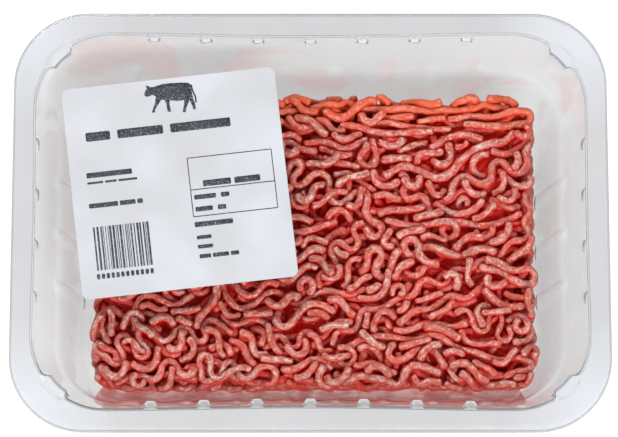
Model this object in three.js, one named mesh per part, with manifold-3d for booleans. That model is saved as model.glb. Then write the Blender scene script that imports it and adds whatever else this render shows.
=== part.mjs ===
// A sealed tray pack of ground meat: a clear thermoformed tray, a clear film
// welded to its flange, a plain paper label on the film and a block of minced
// strands that rests on the tray's floor.
//
// Millimetres, +Z up.  +X runs along the pack's long side, +Y towards its far
// side.  The origin is under the middle of the pack, on the surface it rests on.

import * as THREE from 'three';
import { mergeVertices } from 'three/addons/utils/BufferGeometryUtils.js';
import Module from 'manifold-3d';

// ---------------------------------------------------------------- dimensions

// tray, outside
const TRAY_LENGTH = 187;          // over the flange, along X
const TRAY_WIDTH = 135;           // over the flange, along Y
const TRAY_HEIGHT = 50;           // to the sealing face of the flange
const RIM_RADIUS = 23.5;          // plan radius of the flange's corners
const WALL = 0.75;                // sheet thickness

// tray, inside
const MOUTH_A = 86.5;             // half length of the mouth at the flange
const MOUTH_B = 60.4;             // half width of the mouth
const MOUTH_RADIUS = 23;          // plan radius of the mouth's corners
const FLOOR_RADIUS = 14;          // plan radius of the corners at the floor
const DRAFT_END = THREE.MathUtils.degToRad(17);    // short walls
const DRAFT_SIDE = THREE.MathUtils.degToRad(15.5); // long walls
const BOW_SIDE = 0.9;             // long walls pull in this far at their middle
const BOW_END = 0.3;
const FLOOR_FILLET = 5;
const STEP_DEPTH = 21;            // the lower wall stands in by STEP_IN below this
const STEP_IN = 0.5;

// flange and its turned-down rim
const SEAL_STEP = 1.4;            // the sealing face ends this far from the edge
const SEAL_DROP = 0.6;
const RIM_DROP = 2.8;             // the rim's lower edge, below the sealing face

// small lugs under the mouth that keep nested trays apart
const LUG_PITCH = 16.5;
const LUGS_SIDE = 7;
const LUGS_END = 4;
const LUG_REACH = 3.2;            // inward from the mouth
const LUG_WIDE = 5.6;             // at the wall
const LUG_NARROW = 3.9;           // at its inner face
const LUG_TOP = 0.7;              // below the sealing face, at the wall
const LUG_SLOPE = 0.9;            // further down at the inner face

// crescent ledges in the four corners
const LEDGE_LENGTH = 10;
const LEDGE_OUT = 1.7;            // reaches into the flange
const LEDGE_IN = 2.3;             // reaches into the tray
const LEDGE_DROP = 1.0;

// upright stiffening ribs of the lower wall
const RIB_TOP = 18;               // below the sealing face
const RIB_BOTTOM = 43.5;
const RIB_WIDTH = 5;
const RIB_PROUD = 1.1;            // from the upper wall's plane
const RIB_SIDE = [-38.6, -23.2, -7.8, 7.8, 23.2, 38.6];
const RIB_END = [-16.5, 0, 16.5];
const RIB_CORNER_X = 54;          // leaning ribs beside the corners
const RIB_CORNER_LEAN = THREE.MathUtils.degToRad(27);

// film and label
const FILM = 0.25;
const FILM_INSET = 0.7;           // from the tray's outer edge
const LABEL_SIZE = [67.5, 68.4];
const LABEL_RADIUS = 2.2;
const LABEL_THICK = 0.25;
const LABEL_AT = [-41.1, 11.7];
const LABEL_TURN = THREE.MathUtils.degToRad(6.6);

// the block of strands
const MEAT_A = 70.0;              // half length at the top
const MEAT_FAR = 44.1;            // far edge at the top
const MEAT_NEAR = -50.6;          // near edge at the top, where the block leans on the wall
const MEAT_B = (MEAT_FAR - MEAT_NEAR) / 2;
const MEAT_TAPER = 1.8;           // narrower at the foot, on three sides
const MEAT_LEAN = 9.0;            // and on the near side, along the wall's slope
const MEAT_TOP = 39.4;
const MEAT_X = 1.3;
const MEAT_CORNER = 11;
const MEAT_SHOULDER = 5.5;        // rounding of the top edges
const MEAT_LUMP = 1.1;            // strands stand out and fall back this much

// ------------------------------------------------------------- loft helpers

const CORNER_STEPS = 7;
const SIDE_STEPS = 6;
const END_STEPS = 2;

// points of a rounded rectangle with half sizes a, b and corner radius r,
// counter-clockwise, whose straight sides may pull in at their middle
function roundedRing(a, b, r, z, bowSide = 0, bowEnd = 0, steps = [CORNER_STEPS, SIDE_STEPS, END_STEPS]) {
  const [nc, ns, ne] = steps;
  const pull = t => (1 - t * t) ** 2;
  const pts = [];
  const corners = [[1, 1, 0], [-1, 1, 1], [-1, -1, 2], [1, -1, 3]];
  corners.forEach(([sx, sy, q]) => {
    for (let i = 0; i <= nc; i++) {
      const w = (q + i / nc) * Math.PI / 2;
      pts.push([sx * (a - r) + r * Math.cos(w), sy * (b - r) + r * Math.sin(w), z]);
    }
    const along = q % 2 === 0;
    const n = along ? ns : ne;
    for (let i = 1; i < n; i++) {
      const t = 1 - 2 * i / n;
      if (along) {
        pts.push([sx * t * (a - r), sy * (b - bowSide * pull(t)), z]);
      } else {
        pts.push([sx * (a - bowEnd * pull(t)), sy * t * (b - r), z]);
      }
    }
  });
  return pts;
}

// a closed solid through rings of equal length, capped at both ends
function loft(rings) {
  const n = rings[0].length;
  const pos = rings.flat(2);
  const idx = [];
  for (let k = 0; k + 1 < rings.length; k++) {
    for (let i = 0; i < n; i++) {
      const j = (i + 1) % n;
      const p = k * n + i, q = k * n + j, s = (k + 1) * n + i, t = (k + 1) * n + j;
      idx.push(p, q, t, p, t, s);
    }
  }
  const cap = (ring, flip) => {
    const base = rings.indexOf(ring) * n;
    const c = [0, 1, 2].map(d => ring.reduce((sum, p) => sum + p[d], 0) / n);
    const ci = pos.length / 3;
    pos.push(...c);
    for (let i = 0; i < n; i++) {
      const j = (i + 1) % n;
      if (flip) idx.push(ci, base + j, base + i);
      else idx.push(ci, base + i, base + j);
    }
  };
  cap(rings[0], true);
  cap(rings[rings.length - 1], false);
  return toGeometry(pos, idx);
}

function toGeometry(pos, idx) {
  const g = new THREE.BufferGeometry();
  g.setAttribute('position', new THREE.Float32BufferAttribute(pos, 3));
  g.setIndex(idx);
  return g;
}

// ---------------------------------------------------------- boolean helpers

const wasm = await Module();
wasm.setup();

function solid(geometry) {
  const g = geometry.clone();
  g.deleteAttribute('normal');
  g.deleteAttribute('uv');
  const m = mergeVertices(g, 1e-5);
  return new wasm.Manifold(new wasm.Mesh({
    numProp: 3,
    vertProperties: new Float32Array(m.attributes.position.array),
    triVerts: new Uint32Array(m.index.array),
  }));
}

function geometryOf(manifold) {
  const mesh = manifold.getMesh();
  return toGeometry(Array.from(mesh.vertProperties), Array.from(mesh.triVerts));
}

// ---------------------------------------------------------------- the tray

// half sizes of the inner wall at a depth below the sealing face
function wallAt(depth, offset = 0) {
  const stand = depth > STEP_DEPTH ? STEP_IN : 0;
  const r = THREE.MathUtils.lerp(MOUTH_RADIUS, FLOOR_RADIUS, depth / TRAY_HEIGHT);
  return [
    MOUTH_A - depth * Math.tan(DRAFT_END) - stand + offset,
    MOUTH_B - depth * Math.tan(DRAFT_SIDE) - stand + offset,
    Math.max(2, r + offset),
  ];
}

// the walls' inward bow lessens towards the floor
function bowFade(depth) {
  return 1 - 0.5 * THREE.MathUtils.clamp(depth / TRAY_HEIGHT, 0, 1);
}

function wallRing(depth, offset, z = TRAY_HEIGHT - depth) {
  const [a, b, r] = wallAt(depth, offset);
  const fade = bowFade(depth);
  return roundedRing(a, b, r, z, BOW_SIDE * fade, BOW_END * fade);
}

// the space inside the tray, open past the top
function cavity() {
  const floor = TRAY_HEIGHT - WALL;
  const f = FLOOR_FILLET;
  return loft([
    wallRing(floor, -f),
    wallRing(floor - f * 0.29, -f * 0.29),
    wallRing(floor - f, 0),
    wallRing(STEP_DEPTH + 0.01, 0, TRAY_HEIGHT - STEP_DEPTH - 0.5),
    wallRing(STEP_DEPTH - 0.01, 0, TRAY_HEIGHT - STEP_DEPTH + 0.2),
    wallRing(0.9, 0),
    wallRing(0, 0.4, TRAY_HEIGHT),
    wallRing(0, 0.4, TRAY_HEIGHT + 3),
  ]);
}

// the outside of the tray with its flange and turned-down rim, as if filled
function envelope() {
  const t = WALL / Math.cos(DRAFT_SIDE);
  const f = FLOOR_FILLET + WALL;
  const rim = (inset, z) => roundedRing(
    TRAY_LENGTH / 2 - inset, TRAY_WIDTH / 2 - inset, RIM_RADIUS - inset, z);
  return loft([
    wallRing(TRAY_HEIGHT - WALL, -FLOOR_FILLET, 0),
    wallRing(TRAY_HEIGHT - f * 0.29, t - f * 0.29),
    wallRing(TRAY_HEIGHT - f, t),
    wallRing(STEP_DEPTH + 0.01, t, TRAY_HEIGHT - STEP_DEPTH - 0.5),
    wallRing(STEP_DEPTH - 0.01, t, TRAY_HEIGHT - STEP_DEPTH + 0.2),
    wallRing(2.2, t),
    wallRing(0.9, t + 0.8, TRAY_HEIGHT - WALL),
    rim(SEAL_STEP + 0.7, TRAY_HEIGHT - WALL),
    rim(SEAL_STEP - 0.4, TRAY_HEIGHT - WALL - SEAL_DROP),
    rim(WALL, TRAY_HEIGHT - WALL - SEAL_DROP - 0.2),
    rim(WALL, TRAY_HEIGHT - RIM_DROP),
    rim(0, TRAY_HEIGHT - RIM_DROP),
    rim(0, TRAY_HEIGHT - SEAL_DROP - 0.35),
    rim(0.35, TRAY_HEIGHT - SEAL_DROP),
    rim(SEAL_STEP - 0.3, TRAY_HEIGHT - SEAL_DROP),
    rim(SEAL_STEP, TRAY_HEIGHT),
  ]);
}

// the spot on the mouth's edge at coordinate u of one wall, and its frame
const WALLS = [
  { name: 'far', at: u => [u, MOUTH_B], along: [1, 0], inward: [0, -1], draft: DRAFT_SIDE, half: MOUTH_A - MOUTH_RADIUS, bow: BOW_SIDE },
  { name: 'near', at: u => [u, -MOUTH_B], along: [1, 0], inward: [0, 1], draft: DRAFT_SIDE, half: MOUTH_A - MOUTH_RADIUS, bow: BOW_SIDE },
  { name: 'right', at: u => [MOUTH_A, u], along: [0, 1], inward: [-1, 0], draft: DRAFT_END, half: MOUTH_B - MOUTH_RADIUS, bow: BOW_END },
  { name: 'left', at: u => [-MOUTH_A, u], along: [0, 1], inward: [1, 0], draft: DRAFT_END, half: MOUTH_B - MOUTH_RADIUS, bow: BOW_END },
];

function placer(wall, u) {
  const [px, py] = wall.at(u);
  const t = Math.min(1, Math.abs(u) / wall.half);
  const bow = wall.bow * (1 - t * t) ** 2;
  return (s, v, z) => {
    const w = v + bow * bowFade(TRAY_HEIGHT - z);
    return [
      px + wall.along[0] * s + wall.inward[0] * w,
      py + wall.along[1] * s + wall.inward[1] * w,
      z,
    ];
  };
}

// a closed solid between two outlines of equal length, facing out either way
function between(lower, upper) {
  const area = lower.reduce((sum, p, i) => {
    const q = lower[(i + 1) % lower.length];
    return sum + p[0] * q[1] - q[0] * p[1];
  }, 0);
  return area > 0 ? loft([lower, upper]) : loft([[...lower].reverse(), [...upper].reverse()]);
}

// an upright post whose top slopes towards the middle of the tray; its inner
// face is upright, so it dies into the slanting wall below it
function lug(wall, u, shrink) {
  const P = placer(wall, u);
  const w0 = LUG_WIDE / 2 - shrink, w1 = LUG_NARROW / 2 - shrink;
  const reach = LUG_REACH - shrink;
  const back = -3;
  const lean = (LUG_WIDE - LUG_NARROW) / 2 / LUG_REACH;
  const wb = w0 - lean * back;
  const top = v => TRAY_HEIGHT - LUG_TOP - shrink - LUG_SLOPE * Math.max(0, v) / LUG_REACH;
  const low = TRAY_HEIGHT - 16;
  const outline = z => [
    P(-wb, back, z(back)), P(wb, back, z(back)), P(w1, reach, z(reach)), P(-w1, reach, z(reach)),
  ];
  return solid(between(outline(() => low), outline(top)));
}

// a flat bar with a round head that lies on the sloping wall
function rib(wall, u, lean, shrink, flipLean = 1) {
  const P = placer(wall, u);
  const half = RIB_WIDTH / 2 - shrink;
  const proud = RIB_PROUD - shrink;
  const k = Math.tan(wall.draft);
  const front = [], back = [];
  const point = (s, depth) => {
    const d = depth - RIB_TOP;
    const shift = flipLean * Math.tan(lean) * d;
    const v = depth * k;
    front.push(P(s * 0.72 + shift, v + proud, TRAY_HEIGHT - depth));
    back.push(P(s + shift, v - 4, TRAY_HEIGHT - depth));
  };
  const head = 5;
  for (let i = 0; i <= head; i++) {
    const w = Math.PI * i / head;
    point(half * Math.cos(w), RIB_TOP + shrink + half - half * Math.sin(w));
  }
  point(-half, RIB_BOTTOM - shrink);
  point(half, RIB_BOTTOM - shrink);
  const n = front.length;
  const pos = [...front, ...back].flat();
  const idx = [];
  for (let i = 0; i < n; i++) {
    const j = (i + 1) % n;
    idx.push(i, j, n + j, i, n + j, n + i);
  }
  for (let i = 1; i + 1 < n; i++) {
    idx.push(0, i + 1, i, n, n + i, n + i + 1);
  }
  return solid(outward(toGeometry(pos, idx)));
}

// turns a closed mesh's faces outward when its signed volume is negative
function outward(g) {
  const p = g.attributes.position, ix = Array.from(g.index.array);
  let volume = 0;
  const v = [new THREE.Vector3(), new THREE.Vector3(), new THREE.Vector3()];
  for (let i = 0; i < ix.length; i += 3) {
    v.forEach((q, k) => q.fromBufferAttribute(p, ix[i + k]));
    volume += v[0].dot(v[1].clone().cross(v[2]));
  }
  if (volume < 0) {
    for (let i = 0; i < ix.length; i += 3) [ix[i + 1], ix[i + 2]] = [ix[i + 2], ix[i + 1]];
    g.setIndex(ix);
  }
  return g;
}

// lens-shaped outline that crosses the mouth's edge in a corner
function lens(sx, sy, shrink, z) {
  const ox = sx * (MOUTH_A - MOUTH_RADIUS), oy = sy * (MOUTH_B - MOUTH_RADIUS);
  const mid = Math.atan2(sy, sx);
  const span = LEDGE_LENGTH / MOUTH_RADIUS;
  const steps = 6;
  const pts = [];
  for (let i = 0; i <= steps; i++) {
    const t = i / steps * 2 - 1;
    const w = mid + t * (span / 2 - shrink / MOUTH_RADIUS);
    const bulge = LEDGE_OUT * Math.min(1, 2.2 * (1 - Math.abs(t)));
    pts.push([w, MOUTH_RADIUS + bulge - shrink]);
  }
  for (let i = steps; i >= 0; i--) {
    const t = i / steps * 2 - 1;
    const w = mid + t * (span / 2 - shrink / MOUTH_RADIUS) * 0.86;
    pts.push([w, MOUTH_RADIUS - LEDGE_IN + shrink]);
  }
  return pts.map(([w, r]) => [ox + r * Math.cos(w), oy + r * Math.sin(w), z]);
}

function trayGeometry() {
  let inside = solid(cavity());
  let outside = solid(envelope());
  const lugSpots = [];
  for (const wall of WALLS) {
    const n = wall.draft === DRAFT_SIDE ? LUGS_SIDE : LUGS_END;
    for (let i = 0; i < n; i++) lugSpots.push([wall, (i - (n - 1) / 2) * LUG_PITCH]);
  }
  for (const [wall, u] of lugSpots) {
    inside = inside.subtract(lug(wall, u, 0));
    outside = outside.subtract(lug(wall, u, WALL));
  }
  for (const wall of WALLS) {
    const long = wall.draft === DRAFT_SIDE;
    for (const u of long ? RIB_SIDE : RIB_END) {
      inside = inside.subtract(rib(wall, u, 0, 0));
      outside = outside.subtract(rib(wall, u, 0, WALL));
    }
    if (long) {
      for (const side of [-1, 1]) {
        inside = inside.subtract(rib(wall, side * RIB_CORNER_X, RIB_CORNER_LEAN, 0, side));
        outside = outside.subtract(rib(wall, side * RIB_CORNER_X, RIB_CORNER_LEAN, WALL, side));
      }
    }
  }
  const ledge = TRAY_HEIGHT - LEDGE_DROP;
  for (const sx of [-1, 1]) {
    for (const sy of [-1, 1]) {
      const post = solid(between(lens(sx, sy, 0, ledge - 14), lens(sx, sy, 0, ledge)));
      const recess = solid(between(lens(sx, sy, 0, ledge), lens(sx, sy, 0, TRAY_HEIGHT + 2)));
      const pocket = solid(between(lens(sx, sy, WALL, ledge - 14), lens(sx, sy, WALL, ledge - WALL)));
      const shelf = solid(between(lens(sx, sy, -WALL, ledge - WALL), lens(sx, sy, -WALL, TRAY_HEIGHT - WALL / 2)));
      inside = inside.subtract(post).add(recess);
      outside = outside.add(shelf).subtract(pocket);
    }
  }
  return geometryOf(outside.subtract(inside));
}

// ---------------------------------------------------------- film and label

function plate(a, b, r, z0, z1, steps) {
  return loft([
    roundedRing(a, b, r, z0, 0, 0, steps),
    roundedRing(a, b, r, z1, 0, 0, steps),
  ]);
}

function filmGeometry() {
  return plate(TRAY_LENGTH / 2 - FILM_INSET, TRAY_WIDTH / 2 - FILM_INSET,
    RIM_RADIUS - FILM_INSET, TRAY_HEIGHT, TRAY_HEIGHT + FILM, [12, 1, 1]);
}

function labelGeometry() {
  return plate(LABEL_SIZE[0] / 2, LABEL_SIZE[1] / 2, LABEL_RADIUS,
    TRAY_HEIGHT + FILM, TRAY_HEIGHT + FILM + LABEL_THICK, [6, 1, 1]);
}

// ------------------------------------------------------------ the minced meat

// smooth unevenness of a few strands' width, made of crossing waves
function lump(x, y, z) {
  return (
    Math.sin(0.62 * x + 1.3 * Math.sin(0.21 * y + 0.4)) * Math.cos(0.55 * y + 0.7 * z + 0.9) +
    Math.sin(0.83 * y - 0.37 * x + 0.6 * z + 2.1) * 0.7 +
    Math.cos(0.29 * x + 0.47 * y - 0.8 * z + 0.3) * 0.8
  ) / 2.5;
}

// a low swell of the whole block: higher along its middle, lower at the ends
function swell(x, y) {
  return 0.9 * Math.cos(0.045 * x + 0.3) + 0.7 * Math.sin(0.07 * y + 0.05 * x + 0.8) - 0.9;
}

function meatGeometry() {
  const cx = MEAT_X;
  const steps = [6, 18, 10];
  const floor = WALL;
  const rise = MEAT_TOP - floor;
  const rings = [];
  const add = (inset, z, lumpy, flat) => {
    const low = 1 - (z - floor) / rise;
    const far = MEAT_FAR - MEAT_TAPER * low, near = MEAT_NEAR + MEAT_LEAN * low;
    const cy = (far + near) / 2, half = (far - near) / 2;
    const ring = roundedRing(MEAT_A - MEAT_TAPER * low - inset, half - inset, Math.max(3, MEAT_CORNER - inset), z, 0, 0, steps);
    rings.push(ring.map(([x, y]) => {
      const out = Math.hypot(x / MEAT_A, y / MEAT_B) || 1;
      const nx = x / MEAT_A / out, ny = y / MEAT_B / out;
      const h = lumpy * MEAT_LUMP * lump(x, y, z * 0.5);
      const zz = flat ? z : z + lumpy * (MEAT_LUMP * lump(x + 31, y - 17, 0) + swell(x, y)) * Math.min(1, (z - floor) / rise);
      return [cx + x + nx * h, cy + y + ny * h, zz];
    }));
  };
  const s = MEAT_SHOULDER;
  add(4.3, floor, 0, true);
  add(0.9, floor + 3.4, 0.6, true);
  for (const z of [8, 13, 18, 23, 28]) add(0, floor + z, 1, true);
  add(0, MEAT_TOP - s, 1, false);
  add(s * 0.29, MEAT_TOP - s * 0.29, 1, false);
  add(s, MEAT_TOP, 1, false);
  for (let k = 1; k <= 8; k++) add(s + k * (MEAT_B - s - 3.5) / 8, MEAT_TOP, 1, false);
  return loft(rings);
}

// ------------------------------------------------------------------ the pack

const looks = {
  tray: new THREE.MeshStandardMaterial({ color: 0xd9dadd, roughness: 0.12, metalness: 0, transparent: true, opacity: 0.3 }),
  film: new THREE.MeshStandardMaterial({ color: 0xeef0f4, roughness: 0.08, metalness: 0, transparent: true, opacity: 0.15 }),
  label: new THREE.MeshStandardMaterial({ color: 0xdfe1e8, roughness: 0.55, metalness: 0 }),
  meat: new THREE.MeshStandardMaterial({ color: 0xb8483f, roughness: 0.4, metalness: 0 }),
};

function part(name, geometry, material) {
  const mesh = new THREE.Mesh(geometry, material);
  mesh.name = name;
  return mesh;
}

const pack = new THREE.Group();
pack.add(part('tray', trayGeometry(), looks.tray));
pack.add(part('lid_film', filmGeometry(), looks.film));

const label = part('label', labelGeometry(), looks.label);
label.position.set(LABEL_AT[0], LABEL_AT[1], 0);
label.rotation.z = LABEL_TURN;
pack.add(label);

pack.add(part('minced_meat', meatGeometry(), looks.meat));

export default pack;
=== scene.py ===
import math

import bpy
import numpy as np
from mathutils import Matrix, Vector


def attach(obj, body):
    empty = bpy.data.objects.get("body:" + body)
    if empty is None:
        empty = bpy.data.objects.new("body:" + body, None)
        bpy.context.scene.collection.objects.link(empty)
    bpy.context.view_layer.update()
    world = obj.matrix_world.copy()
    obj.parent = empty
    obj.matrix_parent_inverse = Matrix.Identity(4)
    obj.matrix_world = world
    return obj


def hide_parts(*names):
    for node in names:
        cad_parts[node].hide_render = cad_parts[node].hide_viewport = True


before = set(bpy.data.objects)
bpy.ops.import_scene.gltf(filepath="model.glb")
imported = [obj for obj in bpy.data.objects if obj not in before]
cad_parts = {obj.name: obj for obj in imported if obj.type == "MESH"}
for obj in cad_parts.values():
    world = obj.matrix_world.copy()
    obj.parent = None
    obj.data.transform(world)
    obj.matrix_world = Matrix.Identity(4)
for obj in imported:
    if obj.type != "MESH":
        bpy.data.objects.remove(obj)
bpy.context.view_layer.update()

# A sealed tray pack of minced beef: clear thermoformed tray, clear film welded
# to its flange, a plain printed label on the film and a block of strands.
# Lengths in the helpers are millimetres, and every mesh is made in metres.

MM = 0.001

# ------------------------------------------------------------- mesh and nodes


def mesh_from(name, verts, quads, tris, smooth=True, sharp=None):
    """a mesh object from arrays, in millimetres"""
    me = bpy.data.meshes.new(name)
    verts = np.asarray(verts, np.float64) * MM
    quads = np.asarray(quads, np.int32).reshape(-1, 4)
    tris = np.asarray(tris, np.int32).reshape(-1, 3)
    me.vertices.add(len(verts))
    me.vertices.foreach_set("co", verts.astype(np.float32).ravel())
    loops = np.concatenate([quads.ravel(), tris.ravel()])
    me.loops.add(len(loops))
    me.loops.foreach_set("vertex_index", loops)
    starts = np.concatenate([np.arange(len(quads)) * 4, len(quads) * 4 + np.arange(len(tris)) * 3])
    me.polygons.add(len(starts))
    me.polygons.foreach_set("loop_start", starts.astype(np.int32))
    me.update(calc_edges=True)
    me.validate()
    if smooth:
        me.shade_smooth()
        if sharp is not None:
            me.set_sharp_from_angle(angle=math.radians(sharp))
    ob = bpy.data.objects.new(name, me)
    bpy.context.scene.collection.objects.link(ob)
    return ob


def node(nt, kind, where=(0, 0), **values):
    n = nt.nodes.new(kind)
    n.location = where
    for k, v in values.items():
        if k in n.inputs:
            n.inputs[k].default_value = v
        else:
            setattr(n, k, v)
    return n


def link(nt, a, b):
    nt.links.new(a, b)


def material(name):
    m = bpy.data.materials.new(name)
    m.use_nodes = True
    m.node_tree.nodes.clear()
    out = m.node_tree.nodes.new("ShaderNodeOutputMaterial")
    return m, m.node_tree, out


def ramp(nt, fac, stops):
    n = nt.nodes.new("ShaderNodeValToRGB")
    e = n.color_ramp.elements
    while len(e) < len(stops):
        e.new(0.5)
    for k, (at, col) in enumerate(stops):
        e[k].position = at
        e[k].color = (*col, 1) if len(col) == 3 else col
    link(nt, fac, n.inputs["Fac"])
    return n.outputs["Color"]


def mapped(nt, fac, a, b, c, d):
    n = node(nt, "ShaderNodeMapRange", **{"From Min": a, "From Max": b, "To Min": c, "To Max": d})
    link(nt, fac, n.inputs["Value"])
    return n.outputs["Result"]


def mixed(nt, fac, a, b, how="MIX"):
    n = nt.nodes.new("ShaderNodeMix")
    n.data_type = "RGBA"
    n.blend_type = how
    ins = [s for s in n.inputs if s.enabled]
    for s, v in zip(ins, (fac, a, b)):
        if isinstance(v, (int, float)):
            s.default_value = v
        elif isinstance(v, tuple):
            s.default_value = (*v, 1)
        else:
            link(nt, v, s)
    return [s for s in n.outputs if s.enabled][0]


def place(ob, mat, slot, *nodes):
    ob.data.materials.append(mat)
    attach(ob, "root")
    if nodes:
        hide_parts(*nodes)


# ------------------------------------------------------------------ materials


def clear_sheet(name, tint, wall_tint_painted_light, shadow, ior, rough, wave):
    """clear plastic: refracts what the camera sees and lets the lamps through"""
    m, nt, out = material(name)
    co = node(nt, "ShaderNodeTexCoord")
    n1 = node(nt, "ShaderNodeTexNoise", Scale=38.0, Detail=2.0)
    link(nt, co.outputs["Object"], n1.inputs["Vector"])
    n2 = node(nt, "ShaderNodeTexNoise", Scale=320.0, Detail=2.0)
    link(nt, co.outputs["Object"], n2.inputs["Vector"])
    p = node(nt, "ShaderNodeBsdfPrincipled", **{"Metallic": 0.0, "IOR": ior, "Transmission Weight": 0.82, "Coat Weight": 0.35, "Coat Roughness": 0.06, "Coat IOR": 1.45})
    dark = tuple(c * 0.965 for c in tint)
    uneven = mixed(nt, mapped(nt, n1.outputs["Fac"], 0.35, 0.65, 0.0, 1.0), tint, dark)
    # painted light: the walls and the floor get a lighter tint than the flange, so they come out as bright as it though
    # less light reaches them
    xyz = node(nt, "ShaderNodeSeparateXYZ")
    link(nt, co.outputs["Object"], xyz.inputs["Vector"])
    far_x, far_y = node(nt, "ShaderNodeMath", operation="ABSOLUTE"), node(nt, "ShaderNodeMath", operation="ABSOLUTE")
    link(nt, xyz.outputs["X"], far_x.inputs[0])
    link(nt, xyz.outputs["Y"], far_y.inputs[0])
    both = node(nt, "ShaderNodeMath", operation="MULTIPLY")
    link(nt, mapped(nt, far_x.outputs["Value"], 0.058, 0.086, 0.0, 1.0), both.inputs[0])
    link(nt, mapped(nt, far_y.outputs["Value"], 0.030, 0.058, 0.0, 1.0), both.inputs[1])
    # painted reflection: towards the corners the flange is tinted lighter and bluer, for the glare of the softboxes
    uneven = mixed(nt, both.outputs["Value"], uneven, (0.72, 0.735, 0.77))
    # painted shade: the cut edge all round the rim is tinted grey, for the dark line that a clear sheet's edge shows
    over_x, over_y = node(nt, "ShaderNodeMath", operation="SUBTRACT"), node(nt, "ShaderNodeMath", operation="SUBTRACT")
    link(nt, far_x.outputs["Value"], over_x.inputs[0])
    link(nt, far_y.outputs["Value"], over_y.inputs[0])
    over_x.inputs[1].default_value, over_y.inputs[1].default_value = 0.070, 0.044
    pos_x, pos_y = node(nt, "ShaderNodeMath", operation="MAXIMUM"), node(nt, "ShaderNodeMath", operation="MAXIMUM")
    link(nt, over_x.outputs["Value"], pos_x.inputs[0])
    link(nt, over_y.outputs["Value"], pos_y.inputs[0])
    pos_x.inputs[1].default_value = pos_y.inputs[1].default_value = 0.0
    flat = node(nt, "ShaderNodeCombineXYZ")
    link(nt, pos_x.outputs["Value"], flat.inputs["X"])
    link(nt, pos_y.outputs["Value"], flat.inputs["Y"])
    far = node(nt, "ShaderNodeVectorMath", operation="LENGTH")
    link(nt, flat.outputs["Vector"], far.inputs[0])
    uneven = mixed(nt, mapped(nt, far.outputs["Value"], 0.02285, 0.0232, 0.0, 0.85), uneven, (0.40, 0.40, 0.41))
    is_low = mapped(nt, xyz.outputs["Z"], 0.04922, 0.04936, 1.0, 0.0)
    is_in = mapped(nt, far.outputs["Value"], 0.0185, 0.0195, 1.0, 0.0)
    # the ledges in the corners keep the flange's tint
    on_ledge = node(nt, "ShaderNodeMath", operation="MULTIPLY")
    link(nt, mapped(nt, xyz.outputs["Z"], 0.0478, 0.0482, 0.0, 1.0), on_ledge.inputs[0])
    link(nt, mapped(nt, both.outputs["Value"], 0.25, 0.45, 0.0, 1.0), on_ledge.inputs[1])
    low_wall = node(nt, "ShaderNodeMath", operation="SUBTRACT", use_clamp=True)
    link(nt, is_low, low_wall.inputs[0])
    link(nt, on_ledge.outputs["Value"], low_wall.inputs[1])
    wall = node(nt, "ShaderNodeMath", operation="MULTIPLY")
    link(nt, low_wall.outputs["Value"], wall.inputs[0])
    link(nt, is_in, wall.inputs[1])
    thin = wall_tint_painted_light
    # painted light and shade: the wall tint is darker higher up, darker on the far wall and lighter on the left wall,
    # evening out how the light falls
    wall_tint_painted_light = mixed(nt, mapped(nt, xyz.outputs["Z"], 0.004, 0.042, 0.0, 1.0), thin, tuple(c * 0.93 for c in thin))
    wall_tint_painted_light = mixed(nt, mapped(nt, xyz.outputs["Y"], 0.047, 0.056, 0.0, 1.0), wall_tint_painted_light, tuple(c * 0.885 for c in thin))
    wall_tint_painted_light = mixed(nt, mapped(nt, xyz.outputs["X"], -0.082, -0.073, 1.0, 0.0), wall_tint_painted_light, tuple(c * 1.03 for c in thin))
    # faint smears from the meat on the walls
    n3 = node(nt, "ShaderNodeTexNoise", Scale=62.0, Detail=3.0, Distortion=0.8)
    link(nt, co.outputs["Object"], n3.inputs["Vector"])
    smear = node(nt, "ShaderNodeMath", operation="MULTIPLY")
    link(nt, mapped(nt, n3.outputs["Fac"], 0.52, 0.66, 0.0, 0.5), smear.inputs[0])
    link(nt, mapped(nt, xyz.outputs["Y"], 0.0, 0.046, 0.12, 1.0), smear.inputs[1])
    wall_tint_painted_light = mixed(nt, smear.outputs["Value"], wall_tint_painted_light, (0.78, 0.60, 0.57))
    link(nt, mixed(nt, wall.outputs["Value"], uneven, wall_tint_painted_light), p.inputs["Base Color"])
    link(nt, mapped(nt, n2.outputs["Fac"], 0.3, 0.7, rough[0], rough[1]), p.inputs["Roughness"])
    bump = node(nt, "ShaderNodeBump", Strength=1.0, Distance=wave)
    link(nt, n1.outputs["Fac"], bump.inputs["Height"])
    link(nt, bump.outputs["Normal"], p.inputs["Normal"])
    t = node(nt, "ShaderNodeBsdfTransparent", Color=(*shadow, 1))
    lp = node(nt, "ShaderNodeLightPath")
    mx = node(nt, "ShaderNodeMixShader")
    link(nt, lp.outputs["Is Shadow Ray"], mx.inputs[0])
    link(nt, p.outputs["BSDF"], mx.inputs[1])
    link(nt, t.outputs["BSDF"], mx.inputs[2])
    link(nt, mx.outputs["Shader"], out.inputs["Surface"])
    return m


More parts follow.
